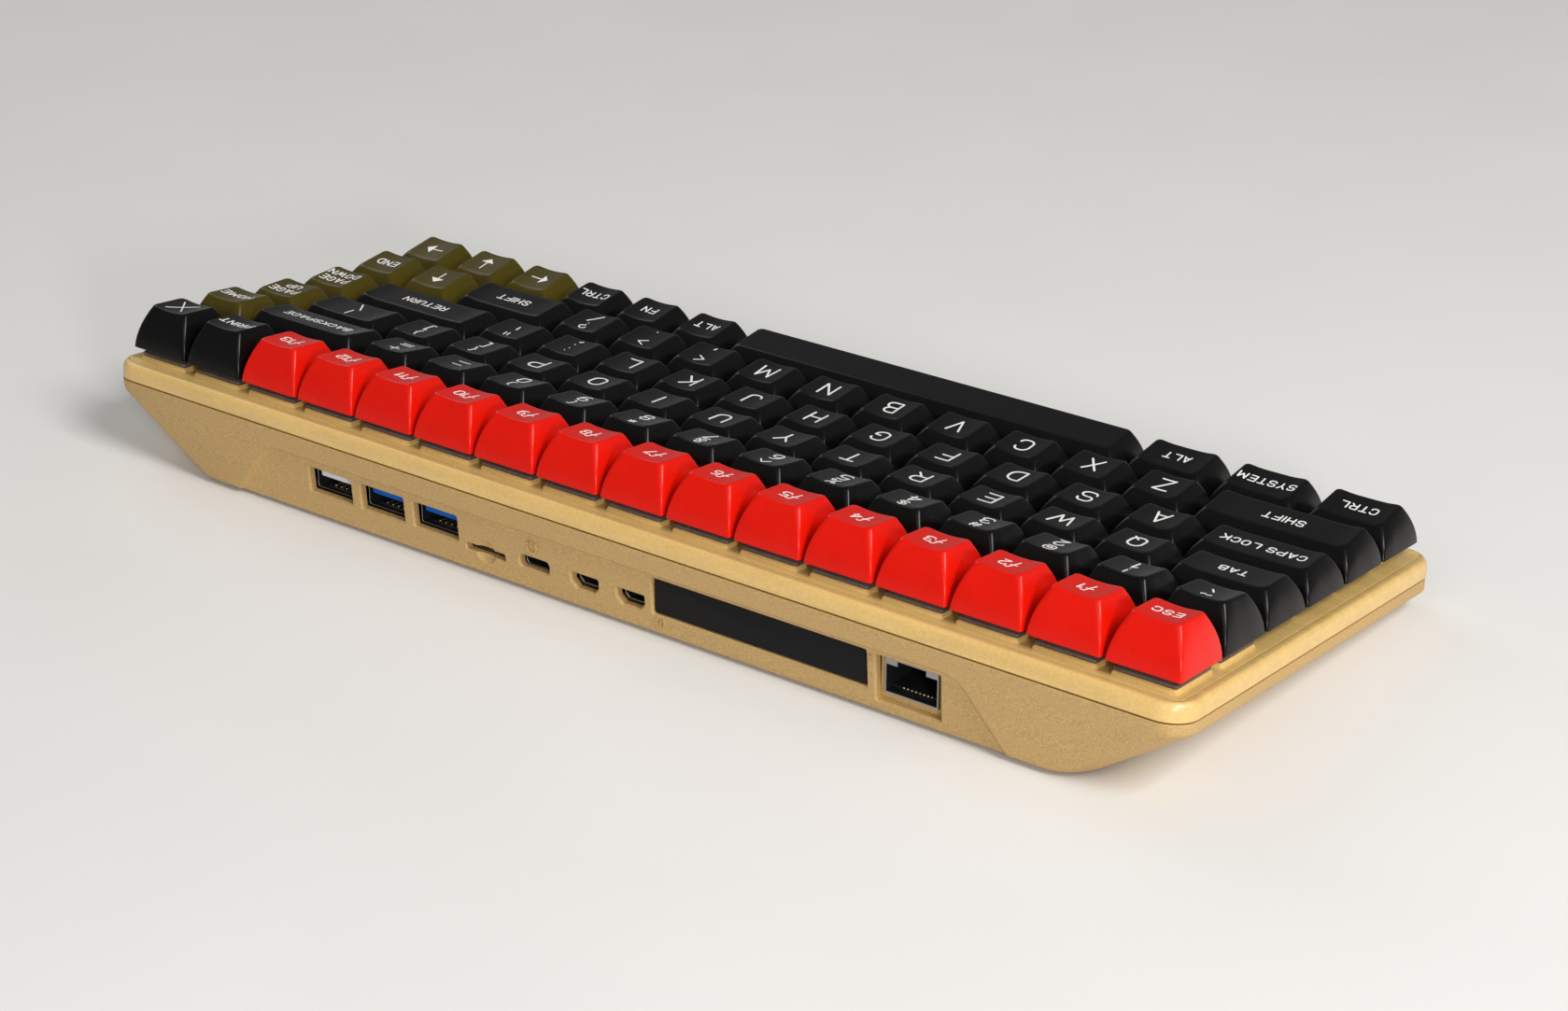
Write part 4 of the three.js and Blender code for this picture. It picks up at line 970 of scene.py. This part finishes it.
def wedge_loops(case, side, rear, floor, rear_pieces=1):
    """Outlines of the wedge at its floor, at the foot of the band and at the seam.

    For its hollow, side, rear and floor give the thickness of the walls; the outer skin has none.
    """
    steps = 6
    slope = math.tan(case.flare)
    lean = math.tan(case.tilt)
    half_depth = deck_half(case)
    shift = side * math.hypot(1, slope)
    band_rise = (shift - side) / slope
    shares = [evenly(12), evenly(4), evenly(rear_pieces), evenly(4)]

    def height(y):
        return case.seam + y * lean - case.band

    def upper(rear_inset, rise):
        x = case.half_width - side
        path = box_path(-x, x, side - half_depth, half_depth - rear_inset, case.corner - side, steps, shares)
        return [Vector((p[0], p[1], height(p[1]) + rise)) for p in path]

    def flare_half(y):
        return case.half_width - shift - (height(y) - floor) * slope

    front_y = shift + (height(-half_depth) - floor) * slope - half_depth
    rear_y = rear_foot(case) + floor * math.tan(case.draft) - rear
    front_x = flare_half(front_y)
    rear_x = flare_half(rear_y)
    corners = [(-front_x, front_y), (front_x, front_y), (rear_x, rear_y), (-rear_x, rear_y)]
    base = rounded_path(corners, [radius - side for radius in (5, 5, 11, 11)], steps, shares)
    return at(base, floor), upper(rear + case.band * math.tan(case.draft), band_rise), upper(rear, case.band)


def case_shape(case):
    """The wedge's outer skin."""
    base, band_foot, seam = wedge_loops(case, 0, 0, 0, 12)
    rear_top = max(p[2] for p in band_foot)
    rising = [[a.lerp(b, z / rear_top) for a, b in zip(base, band_foot)] for z in (1.4, 4.5, 8, 12, 15)]
    softened = at(offset(base, -0.9), 0)
    knee_low = [a.lerp(b, 0.965) for a, b in zip(base, band_foot)]
    knee_high = [a.lerp(b, 0.25) for a, b in zip(band_foot, seam)]
    knee = bend(knee_low, band_foot, knee_high, (0, 0.25, 0.5, 0.75, 1))
    gap = case.seam_gap / 2
    edge = 0.2
    rim_side = [Vector((p[0], p[1], p[2] - gap - edge)) for p in seam]
    rim_top = [Vector((p[0], p[1], seam[i][2] - gap)) for i, p in enumerate(offset(seam, -edge))]
    return stacked([softened, *bend(softened, base, rising[0]), *rising, *knee, rim_side, rim_top])


def recess_cut(case):
    """Cutter for the rear panel's recess, whose wall curves softly into the panel and into its floor."""
    below = 5
    reach = case.recess_half + case.recess_spread * (1 + below / case.recess_height)
    corners = [(-reach, -below), (reach, -below)]
    corners += [(x, case.recess_height) for x in (case.recess_half, -case.recess_half)]
    path = rounded_path(corners, [0.5, 0.5, 8, 8], 12)
    # Height over the recess's floor, for a recess 1.2 deep, and how far the cutter is grown at that height
    profile = ((0, -0.75), (0.04, -0.55), (0.14, -0.42), (0.62, 0), (1.1, 0.42), (1.21, 0.55), (1.25, 0.75), (4, 0.75))
    slope = math.tan(case.draft)
    shape = stacked([at(offset(path, grown), height * case.recess / 1.2, slope) for height, grown in profile])
    return placed(shape, case_place(case).inverted() @ panel_place(case, 0, 0))


def hollow_cut(case):
    """Cutter for the inside of the wedge, which is open at the top."""
    above = 5
    floor, band_foot, seam = wedge_loops(case, case.wall, case.rear_wall, case.floor)
    return stacked([floor, band_foot, [Vector((p[0], p[1], p[2] + above)) for p in seam]])


def video_path(width, height):
    """A video opening or shell: square above, chamfered below."""
    cut = 1.5 * width / 7.8
    x = width / 2
    y = height / 2
    corners = [(cut - x, -y), (x - cut, -y), (x, cut - y), (x, y), (-x, y), (-x, cut - y)]
    return rounded_path(corners, [0.3] * 6, 3)


def placed(shape, matrix):
    """The shape, moved to its place."""
    shape.points = [matrix @ p for p in shape.points]
    return shape


def panel_cuts(case):
    """Cutters for the openings of the rear panel, each with a bevel round its mouth."""
    cuts = []
    slope = math.tan(case.draft)
    here = case_place(case).inverted()
    for node, (x, z, width, height, radius) in OPENINGS.items():
        path = video_path(width, height) if node.startswith("video") else centred_path(width, height, radius)
        bevel = 0.3 if node == "memory_card_socket" else 0.5
        wide = offset(path, bevel)
        shape = stacked([at(path, -5), at(path, -bevel, slope), at(wide, 0.02, slope), at(wide, 4)])
        cuts.append(placed(shape, here @ panel_place(case, x, z)))
    # The finger scoop round the memory card's slot: radius and depth, where a minus sign is into the panel
    x, z = OPENINGS["memory_card_socket"][:2]
    profile = ((0.02, -1.0), (1.3, -0.93), (2.2, -0.72), (2.8, -0.42), (3.15, -0.05), (3.35, 0.1), (3.35, 3))
    scoop = stacked([at(circle_path(radius), depth, slope if depth < 1 else 0) for radius, depth in profile])
    cuts.append(placed(scoop, here @ panel_place(case, x, z)))
    return cuts


def foot_rows(case):
    """The middle line of the front and rear foot, in the case's own frame."""
    half_depth = deck_half(case)
    band_height = case.seam - half_depth * math.tan(case.tilt) - case.band
    return band_height * math.tan(case.flare) - half_depth + FOOT_INSET, rear_foot(case) - FOOT_INSET


def floor_cuts(case):
    """Cutters for the air slots and the foot pockets."""
    slots = Shape()
    for x in centred(12, 8):
        for y in (-25, 25):
            path = centred_path(2.4, 26, 1.2, x, y, 5)
            slots.stack([*tiers(offset(path, 0.35), -1, 0), *tiers(path, 0.35, 2.75)])
    gap = 0.3
    pockets = Shape()
    for y in foot_rows(case):
        path = centred_path(FOOT_LENGTH + 2 * gap, FOOT_WIDTH + 2 * gap, FOOT_WIDTH / 2 + gap, 0, y, 8)
        pockets.stack(tiers(path, -1, 0.5))
    return [slots, pockets]


def screw_posts(case):
    """Posts under the main board's screws, and the bores in them."""
    made = []
    for radius, points, low, high in ((3.2, 24, 1.6, 3.45), (1.25, 16, 1.0, 5)):
        loops = tiers(circle_path(radius, points), low, high)
        made.append([placed(stacked(loops), Matrix.Translation((*spot, 0))) for spot in screw_spots(case)])
    return made


# Operators


class COMPUTER_OT_bottom_case(bpy.types.Operator):
    """Make the sand-coloured wedge with its rear panel, air slots and foot pockets"""

    bl_idname = "computer.bottom_case"
    bl_label = "Bottom case"

    def execute(self, context):
        case, _ = settings()
        posts, bores = screw_posts(case)
        shell = shape_of(carved(mesh_of(case_shape(case), "skin"), [hollow_cut(case), recess_cut(case)]))
        build(
            "case_shell", shell, case_place(case), ["case"], ["bottom_case"],
            cuts=[*panel_cuts(case), *floor_cuts(case), *bores], joins=posts, smooth=24,
        )
        slope = math.tan(case.draft)

        def panel(x, y):
            return y * slope

        # A power symbol and two numbers, raised on the recessed panel
        marks = Shape()
        x, y, radius = -17.36, 11.45, 1.45
        turns = [math.radians(128 + 284 * i / 24) for i in range(25)]
        arc = [Vector((x + radius * math.cos(turn), y + radius * math.sin(turn))) for turn in turns]
        pen(marks, arc, 0.42, panel, 0.44, 0.3)
        pen(marks, [Vector((x, 11.6)), Vector((x, 13.2))], 0.42, panel, 0.45, 0.3)
        for text, height, stroke, x, y in (("40", 1.9, 0.36, 19.8, 2.95), ("1", 1.6, 0.34, 78.1, 12.5)):
            write(marks, text, height, stroke, x, y, panel, raised=0.4, sunk=0.3)
        build("case_marks", marks, panel_place(case, 0, 0), ["case"])
        return {"FINISHED"}


class COMPUTER_OT_top_frame(bpy.types.Operator):
    """Make the glossier frame round the keys"""

    bl_idname = "computer.top_frame"
    bl_label = "Top frame"

    def execute(self, context):
        case, _ = settings()
        lean = 2 * (math.sin(case.tilt) + math.tan(case.draft))
        lip_rear = (deck_half(case) - case.rear_wall - 0.3 - lean) / math.cos(case.tilt)
        shares = [evenly(24), evenly(10), evenly(24), evenly(10)]

        def outside(inset, z, rear=None):
            rear_y = case.half_depth - inset if rear is None else rear
            x = case.half_width - inset
            return at(box_path(-x, x, inset - case.half_depth, rear_y, case.corner - inset, 8, shares), z)

        def opening(grow, z):
            x = case.opening_half_width + grow
            y = case.opening_half_depth + grow
            return at(box_path(-x, x, -y, y, 0.5 + max(grow, 0), 8, shares), z)

        gap = case.seam_gap / 2
        top = case.frame_height
        seat = 2.92
        underside = 1.72
        lip_foot = -2
        edge = []
        for turn in [math.pi / 2 * step / 8 for step in range(9)]:
            rise = (top - case.frame_side) * math.sin(turn)
            edge.append(outside(case.frame_edge * (1 - math.cos(turn)), case.frame_side + rise))
        loops = [outside(2.3, z, lip_rear) for z in (lip_foot, gap)]
        loops += [outside(0.2, gap), outside(0, gap + 0.2), *edge, outside(case.frame_edge + 0.35, top)]
        loops += [opening(0.3, top), opening(0.08, top - 0.08), opening(0, top - 0.3), opening(0, seat)]
        loops += [opening(-2.7, z) for z in (seat, underside)]
        loops += [outside(3.5, z, lip_rear - 1.2) for z in (underside, lip_foot)]
        build("key_frame", stacked(loops, ring=True), deck_place(case), ["frame"], ["top_frame"])
        return {"FINISHED"}


class COMPUTER_OT_key_plate(bpy.types.Operator):
    """Make the plate between the keys with a raised collar for each switch"""

    bl_idname = "computer.key_plate"
    bl_label = "Key plate"

    def execute(self, context):
        case, keys = settings()
        top = case.frame_height - 0.06
        clear = 0.08
        x = case.opening_half_width - clear
        y = case.opening_half_depth - clear
        path = box_path(-x, x, -y, y, 0.5)
        plate = stacked([*tiers(path, 3.22, top - 0.06), at(offset(path, -0.06), top)])
        collars = Shape()
        holes = Shape()
        for key in key_layout(keys):
            outer = centred_path(keys.collar, keys.collar, 0.7, key.x, key.y, 2)
            collars.stack([*tiers(outer, top - 0.4, top + 0.5), at(offset(outer, -0.45), top + 1.0)])
            holes.stack(tiers(centred_path(14.2, 14.2, 0.4, key.x, key.y, 2), 2, 6))
        build(
            "deck_plate", plate, deck_place(case), ["frame"], ["key_plate"],
            cuts=[holes], joins=[collars],
        )
        return {"FINISHED"}


class COMPUTER_OT_key_switches(bpy.types.Operator):
    """Make the smoked switch housings, one piece for each row"""

    bl_idname = "computer.key_switches"
    bl_label = "Switch housings"

    def execute(self, context):
        case, keys = settings()
        wide = keys.housing
        # Width, corner radius and height of each loop: up the housing and its guide, then down the stem's bore
        profile = ((12.6, 0.5, 0.75), (13.6, 0.6, 1.6), (13.6, 0.6, 5.5), (wide - 0.5, 0.7, 5.5))
        profile += ((wide, 0.8, 5.75), (wide, 0.8, 6.35), (wide - 0.9, 0.9, 6.85), (13.4, 1.0, 6.95))
        profile += ((11.2, 1.2, 9.2), (10.6, 1.2, 9.4), (6.6, 3.29, 9.4), (6.6, 3.29, 1.75))
        for row in range(len(KEY_ROWS)):
            shape = Shape()
            for key in [k for k in key_layout(keys) if k.row == row]:
                shape.stack([at(centred_path(w, w, radius, key.x, key.y, 3), z) for w, radius, z in profile])
            name = f"switch_housings_row_{row + 1}"
            build(name, shape, deck_place(case), ["housing"], ["key_switches"])
        return {"FINISHED"}


class COMPUTER_OT_keycaps(bpy.types.Operator):
    """Make the 84 keycaps with their lettering"""

    bl_idname = "computer.keycaps"
    bl_label = "Keycaps"

    def execute(self, context):
        case, keys = settings()
        for key in key_layout(keys):
            colour = "olive" if key.node in OLIVE_NODES else "red" if key.node in RED_NODES else "black"
            shape = keycap_shape(key, keys)
            add_legend(shape, key, keys)
            build(
                f"keycap_{key.name}", shape, deck_place(case, key.x, key.y, keys.rise), [colour, "legend"],
                [key.node], key.node, smooth=36,
            )
        return {"FINISHED"}


class COMPUTER_OT_data_sockets(bpy.types.Operator):
    """Make the three sockets for data plugs, with their tongues, contacts and springs"""

    bl_idname = "computer.data_sockets"
    bl_label = "Data sockets"

    def execute(self, context):
        case, _ = settings()
        for node in ("usb2_socket", "usb3_socket_outer", "usb3_socket_inner"):
            shape = Shape()
            # The shell's inside walls are black, painted as shade; the real shell is steel inside
            open_box(shape, centred_path(13.2, 5.8, 0.7), centred_path(12.8, 5.4, 0.55), -14, 0, -13.5, 0.06, 1)
            # The springs of the shell, the bowed contacts and the block under them
            for x in (-3.4, 3.4):
                strip(shape, [(2.75, -6), (2.95, -3.2), (2.82, -2.9)], 2.2, 0.15, x)
            for x in (-1.8, 0.0, 1.8, 3.6):
                strip(shape, [(-2.6, -6), (-1.9, -2.3), (-1.85, -1.3)], 0.5, 0.22, x, 3)
            for side in (-1, 1):
                block(shape, 0.25, 2.2, -7.5, -3.4, side * 6.15, 0, 0.06)
            block(shape, 10.2, 1.8, -13.9, -1.6, 0, -3.55, 0.1)
            # The insulator, the tongue and the flat contacts on it
            block(shape, 12.3, 4.9, -13.4, -9.8, 0, 0, 0.1, mark=1)
            block(shape, 11.3, 1.85, -10.2, -0.35, 0, 1.1, 0.22, 0.12, mark=2)
            for x in (-3.5, -1.0, 1.0, 3.5):
                block(shape, 1.0, 0.3, -9.6, -1.4, x, 0.12, 0.08, mark=3)
            if node != "usb2_socket":
                for x in centred(5, 2):
                    block(shape, 0.7, 0.35, -9.9, -7.6, x, -0.1, 0.08, mark=3)
            tongue = "tongue_white" if node == "usb2_socket" else "tongue_blue"
            name = node.replace("socket", "data_socket")
            finishes = ["steel", "nylon", tongue, "gold"]
            build(name, shape, socket_place(case, node), finishes, [node])
        return {"FINISHED"}


class COMPUTER_OT_card_socket(bpy.types.Operator):
    """Make the memory card socket behind its slot"""

    bl_idname = "computer.card_socket"
    bl_label = "Memory card socket"

    def execute(self, context):
        case, _ = settings()
        shape = Shape()
        outer = centred_path(14.0, 1.9, 0.15, 0, 0.15)
        open_box(shape, outer, centred_path(11.3, 0.9, 0.1), -15, 0, -13, 0.05, 1)
        for x in centred(8, 1.1):
            strip(shape, [(-0.4, -12), (-0.1, -9.5), (-0.42, -8)], 0.6, 0.12, x, 2)
        node = "memory_card_socket"
        build("card_socket", shape, socket_place(case, node), SOCKET_FINISHES, [node])
        return {"FINISHED"}


class COMPUTER_OT_small_sockets(bpy.types.Operator):
    """Make the power socket and the two video sockets"""

    bl_idname = "computer.small_sockets"
    bl_label = "Power and video sockets"

    def execute(self, context):
        case, _ = settings()
        shape = Shape()
        # The shell's inside walls are black, painted as shade; the real shell is steel inside
        outer = centred_path(9.0, 3.3, 1.55, 0, -0.2, 8)
        open_box(shape, outer, centred_path(8.3, 2.6, 1.25, 0, -0.2, 8), -7.5, 0, -7.1, 0.08, 1)
        # The insulator, the tongue and its contacts, here and in the video sockets
        block(shape, 8.0, 2.4, -7.2, -6.2, 0, -0.2, 0.05, 0.9, 1)
        block(shape, 6.6, 0.7, -7.15, -2.5, 0, -0.2, 0.15, 0.1, 1)
        contacts(shape, 12, 0.5, 0.26, -6.3, -2.9, -0.2)
        node = "power_socket"
        build("power_inlet", shape, socket_place(case, node), SOCKET_FINISHES, [node])
        for node in ("video_socket_first", "video_socket_second"):
            shape = Shape()
            outer = [Vector((p[0], p[1] + 0.05)) for p in video_path(6.8, 2.9)]
            # The shell's inside walls are black, painted as shade; the real shell is steel inside
            open_box(shape, outer, offset(outer, -0.35), -7.6, 0, -7.2, 0.08, 1)
            block(shape, 5.4, 2.0, -7.3, -6.4, 0, 0.1, 0.05, 0.2, 1)
            block(shape, 4.2, 0.7, -7.25, -2.85, 0, 0.1, 0.12, 0.08, 1)
            contacts(shape, 10, 0.4, 0.22, -6.4, -3.2, 0.1)
            for x in (-1.7, 1.7):
                strip(shape, [(-1.02, -4.8), (-0.72, -3.2), (-0.98, -1.6)], 0.9, 0.12, x)
            name = node.replace("socket", "outlet")
            build(name, shape, socket_place(case, node), SOCKET_FINISHES, [node])
        return {"FINISHED"}


class COMPUTER_OT_header(bpy.types.Operator):
    """Make the pin header and its pull-off rubber cover"""

    bl_idname = "computer.header"
    bl_label = "Pin header and cover"

    def execute(self, context):
        case, _ = settings()
        place = socket_place(case, "expansion_header")
        shape = Shape()
        outer = centred_path(57.6, 8.6, 0.5, 0, -0.05)
        open_box(shape, outer, centred_path(54.4, 7.2, 0.35, 0, -0.05), -12.1, -2.1, -10.1, 0.25)
        pitch = 2.54
        for x in centred(20, pitch):
            for y in centred(2, pitch):
                pin = centred_path(0.64, 0.64, 0.03, x, y - 0.05, 1)
                shape.stack([*tiers(pin, -10.3, -4.95), at(offset(pin, -0.18), -4.5)], 1)
        build("pin_header", shape, place, ["nylon", "gold"], ["expansion_header"])
        plate = centred_path(58.5, 8.7, 0.6)
        rim = centred_path(53.8, 6.6, 0.5, 0, -0.05)
        hollow = centred_path(52.0, 4.8, 0.4, 0, -0.05)
        loops = [*tiers(hollow, -0.1, -4.1), at(offset(hollow, 0.15), -4.3), at(offset(rim, -0.2), -4.3)]
        loops += [*tiers(rim, -4.05, -0.1), at(offset(plate, -0.1), -0.1), *tiers(plate, 0.05, 1.55)]
        loops += [at(offset(plate, -0.1), 1.8), at(offset(plate, -0.35), 1.9)]
        build("header_lid", stacked(loops), place, ["cover"], ["header_cover"], "header_cover")
        return {"FINISHED"}


class COMPUTER_OT_network_socket(bpy.types.Operator):
    """Make the network socket with its eight contacts"""

    bl_idname = "computer.network_socket"
    bl_label = "Network socket"

    def execute(self, context):
        case, _ = settings()

        def outline(half, bottom, notch, shoulder, top):
            """An upright opening with a notch for the plug's latch in the middle of its top."""
            right = [(half, bottom), (half, shoulder), (notch, shoulder), (notch, top)]
            return [(-half, bottom), *right, *[(-x, y) for x, y in reversed(right[1:])]]

        flange = outline(7.0, -3.95, 3.8, 4.95, 4.96)
        rim = outline(6.9, -3.85, 3.8, 4.85, 4.86)
        box = outline(7.5, -3.05, 3.8, 5.44, 5.45)
        mouth = outline(6.6, -3.45, 3.7, 3.3, 4.55)
        deep = outline(6.6, -2.9, 3.7, 3.3, 4.55)
        # The metal shell with its flange, then the lining of its mouth
        shape = Shape()
        front = [*tiers(flange, -2.0, 0.75), at(rim, 0.9), *tiers(mouth, 0.9, 0.5)]
        shape.stack([*tiers(box, -18, -2.05), *front], end=False)
        shape.stack([*tiers(mouth, 0.5, -1.7), *tiers(deep, -1.75, -11.6)], 1, start=False)
        for x in centred(8, 1.05):
            block(shape, 0.45, 0.45, -2.2, -1.5, x, -3.08, 0.15, 0.1, 2)
        place = socket_place(case, "network_socket")
        build("network_jack", shape, place, SOCKET_FINISHES, ["network_socket"], smooth=20)
        # The thin ledge of case plastic round the socket
        wide = centred_path(16.6, 11.3, 0.3)
        narrow = centred_path(14.1, 9.05, 0.1, 0, 0.5)
        loops = [at(narrow, -0.3), *tiers(wide, -0.3, 0.25), at(offset(narrow, 0.1), 0.25), at(narrow, 0.15)]
        build("network_ledge", stacked(loops, ring=True), place, ["case"], ["bottom_case"])
        return {"FINISHED"}


class COMPUTER_OT_feet(bpy.types.Operator):
    """Make the two rubber feet"""

    bl_idname = "computer.feet"
    bl_label = "Feet"

    def execute(self, context):
        case, _ = settings()
        path = centred_path(FOOT_LENGTH, FOOT_WIDTH, FOOT_WIDTH / 2, 0, 0, 10)
        loops = [at(offset(path, -0.6), 0), at(offset(path, -0.18), 0.12), *tiers(path, 0.5, 1.6)]
        loops.append(at(offset(path, -0.05), 1.65))
        for node, y in zip(("front_foot", "rear_foot"), foot_rows(case)):
            name = node.replace("foot", "rubber_foot")
            place = Matrix.Translation((0, set_back(case) + y, 0))
            build(name, stacked(loops), place, ["foot"], [node])
        return {"FINISHED"}


class COMPUTER_OT_main_board(bpy.types.Operator):
    """Make the main board, which ends just behind the sockets' mouths"""

    bl_idname = "computer.main_board"
    bl_label = "Main board"

    def execute(self, context):
        case, _ = settings()
        low, high = (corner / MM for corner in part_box("main_board"))
        ribbon_low, ribbon_high = (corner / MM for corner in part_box("keyboard_ribbon"))
        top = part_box("network_socket")[0][2] / MM - case.foot
        back = set_back(case)
        rear_inset = 3.5
        path = box_path(low[0], high[0], low[1] - back, high[1] - back - rear_inset, 1.5)
        board = stacked(tiers(path, low[2] - case.foot, top))
        # The ribbon's connector, by its distance from the board's front edge
        front_inset = 28
        connector = Shape()
        width = ribbon_high[0] - ribbon_low[0] + 4
        middle = (ribbon_high[0] + ribbon_low[0]) / 2
        block(connector, width, 4, top, high[2] - case.foot, middle, low[1] - back + front_inset)
        build("ribbon_connector", connector, case_place(case), ["nylon"], ["main_board"])
        holes = Shape()
        for spot in screw_spots(case):
            circle = [p + spot for p in circle_path(1.6, 20)]
            holes.stack(tiers(circle, low[2] - case.foot - 1, top + 1))
        place = case_place(case)
        build("socket_board", board, place, ["solder_mask"], ["main_board"], cuts=[holes])
        return {"FINISHED"}


class COMPUTER_OT_inner_parts(bpy.types.Operator):
    """Give the boards, chips, screws and cable inside the case their materials"""

    bl_idname = "computer.inner_parts"
    bl_label = "Inner parts"

    def execute(self, context):
        kinds = {
            "keyboard_circuit_board": "solder_mask",
            "processor": "epoxy",
            "heat_spreader": "aluminium",
            "keyboard_ribbon": "ribbon_film",
            **{name: "zinc" for name in BOARD_SCREWS},
        }
        for name, kind in kinds.items():
            node = frame["nodes"][name]
            if not node.material_slots:
                node.data.materials.append(finish(kind))
            for place in node.material_slots:
                place.material = finish(kind)
        return {"FINISHED"}


class COMPUTER_OT_studio(bpy.types.Operator):
    """Make the floor, the lamps and the camera"""

    bl_idname = "computer.studio"
    bl_label = "Studio"

    def execute(self, context):
        half = 3.0
        mesh = bpy.data.meshes.new("studio_floor")
        mesh.from_pydata([(-half, -half, 0), (half, -half, 0), (half, half, 0), (-half, half, 0)], [], [(0, 1, 2, 3)])
        mesh.materials.append(finish("floor"))
        floor = new_object("studio_floor", mesh)

        # Name, place in metres, size in metres and power in watts of each soft lamp
        lamps = (
            ("key_lamp", (-1.2, 0.3, 1.2), 0.6, 21.0),
            ("rear_lamp", (-0.35, 1.35, 0.9), 1.0, 4.1),
            ("low_lamp", (-1.05, 0.85, 0.42), 0.17, 6.5),
            ("side_lamp", (1.35, -0.5, 1.2), 1.0, 5.0),
        )
        for name, place, size, power in lamps:
            light = bpy.data.lights.new(name, "AREA")
            light.shape = "SQUARE"
            light.size = size
            light.energy = power
            lamp = new_object(name, light)
            lamp.location = place
            lamp.rotation_euler = (-Vector(place)).to_track_quat("-Z", "Y").to_euler()

        world = bpy.data.worlds.new("studio")
        world.use_nodes = True
        background = world.node_tree.nodes["Background"]
        background.inputs["Color"].default_value = (*linear("#EDEEF0"), 1.0)
        background.inputs["Strength"].default_value = 0.25
        context.scene.world = world

        # The photo's camera, found from forty corners of keys: lens and sensor in millimetres, its place in metres
        camera = bpy.data.cameras.new("camera")
        camera.lens = 70.27
        camera.sensor_width = 36.0
        camera.sensor_fit = "HORIZONTAL"
        camera.clip_start = 0.05
        view = new_object("camera", camera)
        right = Vector((-0.8097, -0.5868, 0.0))
        up = Vector((0.2529, -0.3491, 0.9023))
        ahead = Vector((0.5295, -0.7306, -0.4311))
        turn = Matrix((right, up, -ahead)).transposed().to_4x4()
        view.matrix_world = Matrix.Translation((-0.4056, 0.5425, 0.3291)) @ turn
        context.scene.camera = view
        context.scene.view_settings.view_transform = "Standard"
        return {"FINISHED"}


PIECES = (
    COMPUTER_OT_bottom_case,
    COMPUTER_OT_top_frame,
    COMPUTER_OT_key_plate,
    COMPUTER_OT_key_switches,
    COMPUTER_OT_keycaps,
    COMPUTER_OT_data_sockets,
    COMPUTER_OT_card_socket,
    COMPUTER_OT_small_sockets,
    COMPUTER_OT_header,
    COMPUTER_OT_network_socket,
    COMPUTER_OT_feet,
    COMPUTER_OT_main_board,
    COMPUTER_OT_inner_parts,
    COMPUTER_OT_studio,
)


class COMPUTER_PT_panel(bpy.types.Panel):
    """Sizes, colours and pieces of the keyboard computer"""

    bl_idname = "COMPUTER_PT_panel"
    bl_label = "Keyboard Computer"
    bl_space_type = "VIEW_3D"
    bl_region_type = "UI"
    bl_category = "Computer"

    def draw(self, context):
        for group in (context.scene.computer_case, context.scene.computer_keys, context.scene.computer_colours):
            box = self.layout.box()
            for name, prop in group.bl_rna.properties.items():
                if prop.type == "FLOAT":
                    box.prop(group, name)
        for piece in PIECES:
            self.layout.operator(piece.bl_idname)


CLASSES = (KeySizes, CaseSizes, Colours, *PIECES, COMPUTER_PT_panel)


def register():
    for cls in CLASSES:
        bpy.utils.register_class(cls)
    bpy.types.Scene.computer_keys = PointerProperty(type=KeySizes)
    bpy.types.Scene.computer_case = PointerProperty(type=CaseSizes)
    bpy.types.Scene.computer_colours = PointerProperty(type=Colours)


def unregister():
    del bpy.types.Scene.computer_colours
    del bpy.types.Scene.computer_case
    del bpy.types.Scene.computer_keys
    for cls in reversed(CLASSES):
        bpy.utils.unregister_class(cls)


def main():
    register()
    for piece in PIECES:
        family, name = piece.bl_idname.split(".")
        getattr(getattr(bpy.ops, family), name)()


if __name__ == "__main__":
    main()
